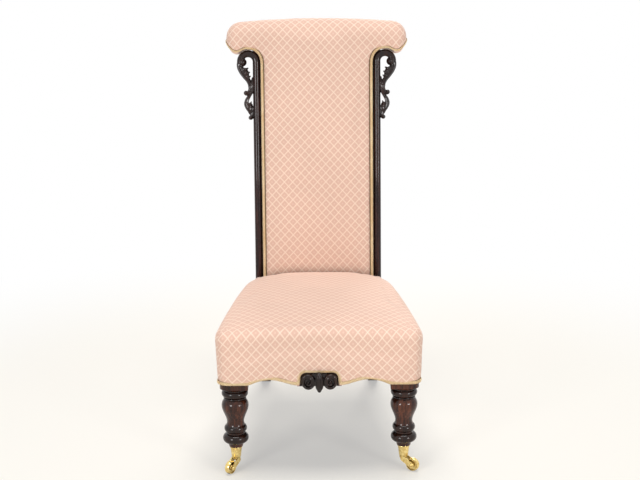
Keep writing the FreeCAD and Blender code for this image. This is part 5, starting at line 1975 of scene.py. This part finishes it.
@dataclass
class FrontCarving:
    """Carved ornament on the front rail: two volutes with sunk eyes either side of a ribbed bud."""

    volute_x: float = 0.0240
    volute_z: float = 0.2170
    volute_radius: float = 0.0168
    volute_rise: float = 0.0188
    rail_y: float = -0.3235
    face_y: float = -0.3340
    bud_z: float = 0.2160
    bud_half: float = 0.0178
    bud_radii: Tuple[float, ...] = (0.0062, 0.0078, 0.0084, 0.0086, 0.0084, 0.0074, 0.0044)
    ground: Ball = Ball((0.0, -0.3245, 0.2220), (0.0390, 0.0045, 0.0140))
    ridge_radii: Tuple[float, ...] = (0.0036, 0.0036, 0.0032, 0.0026, 0.0022)
    ridge_inset: float = 0.0034
    ridge_set: float = 0.0022
    ridge_turns: float = 1.75
    ridge_start: float = 0.30
    ridge_flat: float = 1.35
    reach_shares: Tuple[float, ...] = (0.0, 0.57, 1.0)
    reaches: Tuple[float, ...] = (1.0, 0.829, 0.4635)
    boss: Point = (0.96, 0.62, 0.96)
    boss_set: float = 0.75
    bud_set: float = 0.0005
    pupil: Point = (0.0032, 0.0040, 0.0032)
    pupil_set: float = 0.0010
    voxel: float = 0.0007

    def build(self) -> Piece:
        """Carves the ornament.

        Returns:
            The finished carving.
        """
        shapes = [*self.volute(Side.LEFT), *self.volute(Side.RIGHT), self.bud(), self.ground]
        piece = carve("carved_ornament", shapes, self.voxel, 2)
        return dress(piece, "polished_hardwood", "front_carving")

    def volute(self, side: Side) -> List[Carved]:
        """One rolled leaf: a ridged spiral round a sunk eye, on a solid ground.

        Args:
            side: Which leaf.

        Returns:
            Its shapes.
        """
        x, y, z = side.value * self.volute_x, self.face_y, self.volute_z
        depth = self.rail_y - y
        wide, tall = self.volute_radius, self.volute_rise
        path = []
        for share in np.linspace(0.0, 1.0, 34):
            turn = 0.5 + side.value * (2 * self.ridge_turns * share - self.ridge_start)
            reach = np.interp(share, self.reach_shares, self.reaches)
            path.append((x + (wide * reach - self.ridge_inset) * math.cos(math.pi * turn),
                         y + self.ridge_set * (1 - share),
                         z + (tall * reach - self.ridge_inset) * math.sin(math.pi * turn)))
        boss = (wide * self.boss[0], depth * self.boss[1], tall * self.boss[2])
        return [Ball((x, y + depth * self.boss_set, z), boss),
                Bar(tuple(path), self.ridge_radii, flat=self.ridge_flat, sections=120),
                Ball((x, y + self.pupil_set, z), self.pupil)]

    def bud(self) -> Bar:
        """The upright bud, ribbed down its length and blunt below.

        Returns:
            The bar.
        """
        levels = np.linspace(self.bud_z + self.bud_half, self.bud_z - self.bud_half, len(self.bud_radii))
        path = tuple((0.0, self.face_y + self.bud_set, level) for level in levels)
        return Bar(path, self.bud_radii, flat=0.9, flutes=9, groove=0.16, sections=60)


@dataclass
class FrameFinishes:
    """Finishes of the CAD nodes that show as they are."""

    own: Dict[str, Finish] = field(default_factory=lambda: {
        "front_leg_left": WOOD_TURNED, "front_leg_right": WOOD_TURNED, "front_seat_rail": TIMBER_STAINED,
        "side_seat_rail_left": TIMBER_LENGTHWISE, "side_seat_rail_right": TIMBER_LENGTHWISE})

    def apply(self, nodes: Dict[str, Piece], slots: Dict[str, str]) -> None:
        """Puts each node's finish in its material slots.

        Args:
            nodes: The frame's nodes by name.
            slots: The record's material slot of each node.
        """
        for name, node in sorted(nodes.items()):
            finish = self.own.get(name, SLOT_FINISH[slots[name]])
            node.data.materials.clear()
            node.data.materials.append(finish.material())
            log.info("%s: %s", name, finish.name)


@dataclass(frozen=True)
class SoftBox:
    """A square lamp, with its edge in metres and its power in watts."""

    name: str
    place: Point
    aim: Point
    size: float
    power: float

    def hang(self) -> None:
        """Puts the lamp in its place, turned to what it lights."""
        lamp = bpy.data.lights.new(self.name, "AREA")
        lamp.shape = "SQUARE"
        lamp.size = self.size
        lamp.energy = self.power
        holder = bpy.data.objects.new(self.name, lamp)
        holder.location = self.place
        way = Vector(self.aim) - Vector(self.place)
        holder.rotation_euler = way.to_track_quat("-Z", "Y").to_euler()
        bpy.context.scene.collection.objects.link(holder)


@dataclass
class Studio:
    """Camera, lamps, surround and floor."""

    eye: Point = (0.0, -2.642, 1.020)
    pitch: float = math.radians(12.0)
    roll: float = math.radians(-0.5)
    lens: float = 63.6
    sensor: float = 36.0
    shift: Tuple[float, float] = (0.003, 0.0)
    floor_half: float = 12.0
    floor_near: Colour = srgb(238, 233, 222)
    floor_worn: Colour = srgb(220, 216, 206)
    fade: Tuple[float, float] = (0.75, 1.9)
    fade_start: float = 0.40
    fill: Colour = (1.0, 0.985, 0.96, 1.0)
    fill_strength: float = 0.17
    white: Colour = (1.0, 1.0, 1.0, 1.0)
    lamps: Tuple[SoftBox, ...] = (
        SoftBox("above", (0.0, -0.5, 8.0), (0.0, -0.1, 0.3), 4.5, 460.0),
        SoftBox("front_left", (-1.9, -2.9, 1.15), (0.0, 0.0, 0.4), 0.9, 36.5),
        SoftBox("front_right", (2.0, -2.6, 1.05), (0.0, 0.0, 0.4), 0.75, 24.5),
        SoftBox("behind", (0.4, 2.8, 2.2), (0.0, 0.1, 0.5), 1.6, 40.0))

    def build(self) -> None:
        """Sets up the whole studio."""
        self.camera()
        for lamp in self.lamps:
            lamp.hang()
        self.world()
        self.floor()
        bpy.context.scene.view_settings.view_transform = "Standard"

    def camera(self) -> None:
        """The camera at the photograph's place."""
        data = bpy.data.cameras.new("camera")
        data.lens = self.lens
        data.sensor_width = self.sensor
        data.shift_x, data.shift_y = self.shift
        camera = bpy.data.objects.new("camera", data)
        tilt = Matrix.Rotation(math.pi / 2 - self.pitch, 4, "X") @ Matrix.Rotation(self.roll, 4, "Z")
        camera.matrix_world = Matrix.Translation(self.eye) @ tilt
        bpy.context.scene.collection.objects.link(camera)
        bpy.context.scene.camera = camera

    def world(self) -> None:
        """A white surround for the camera and reflections, with a gentle fill."""
        world = bpy.data.worlds.new("studio")
        bpy.context.scene.world = world
        world.use_nodes = True
        bench = Bench(world.node_tree)
        fill = bench.run("ShaderNodeBackground", {"Color": self.fill, "Strength": self.fill_strength})
        white = bench.run("ShaderNodeBackground", {"Color": self.white, "Strength": 1.0})
        rays = bench.node("ShaderNodeLightPath").outputs
        seen = rays["Is Camera Ray"]
        for ray in ("Is Glossy Ray", "Is Transmission Ray"):
            seen = bench.run("ShaderNodeMath", {0: seen, 1: rays[ray]}, operation="MAXIMUM")
        mix = bench.run("ShaderNodeMixShader", {0: seen, 1: fill, 2: white})
        bench.feed(bench.node("ShaderNodeOutputWorld").inputs[0], mix)

    def floor(self) -> None:
        """A pale floor that fades to white away from the chair, and is clear from below."""
        half = self.floor_half
        mesh = bpy.data.meshes.new("floor")
        corners = [(-half, -half, 0), (half, -half, 0), (half, half, 0), (-half, half, 0)]
        mesh.from_pydata(corners, [], [(0, 1, 2, 3)])
        floor = bpy.data.objects.new("floor", mesh)
        bpy.context.scene.collection.objects.link(floor)
        graph = Graph("floor")
        place = graph.place()
        reach = graph.node("ShaderNodeVectorMath", operation="LENGTH")
        graph.feed(reach.inputs[0], place)
        far = graph.span(reach.outputs["Value"], *self.fade, to_low=self.fade_start)
        mottle = graph.span(graph.noise(place, 2.2, 4.0), 0.3, 0.7, 0.97, 1.0)
        graph.set(Base_Color=graph.mix(mottle, self.floor_worn, self.floor_near))
        graph.set(Roughness=0.85, Specular_IOR_Level=0.1)
        glow = graph.node("ShaderNodeEmission").outputs[0]
        faded = graph.run("ShaderNodeMixShader", {0: far, 1: graph.shader.outputs[0], 2: glow})
        below = graph.node("ShaderNodeNewGeometry").outputs["Backfacing"]
        clear = graph.node("ShaderNodeBsdfTransparent").outputs[0]
        surface = graph.run("ShaderNodeMixShader", {0: below, 1: faded, 2: clear})
        graph.feed(graph.output.inputs["Surface"], surface)
        mesh.materials.append(graph.material)


def clear_startup() -> None:
    """Removes Blender's start-up objects, which aren't part of the chair."""
    kept = set(frame["nodes"].values()) | set(frame["bodies"].values())
    for thing in list(bpy.data.objects):
        if thing not in kept:
            bpy.data.objects.remove(thing)


def main() -> None:
    """Builds the chair's looks round the frame, piece by piece."""
    logging.basicConfig(level=logging.INFO, format="%(name)s %(message)s")
    clear_startup()
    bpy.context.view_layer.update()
    slots = {part["node"]: part["material_slot"] for part in frame["record"]["subparts"]}
    FrameFinishes().apply(frame["nodes"], slots)
    seat = SeatUpholstery()
    seat.build()
    back = BackUpholstery()
    cover = back.build()
    OutsideBack().build()
    DustCover().build()
    BraidTrim(seat, back).build(cover)
    for side in Side:
        ScrollBracket(side).build()
    FrontCarving().build()
    Studio().build()


if __name__ == "__main__":
    main()
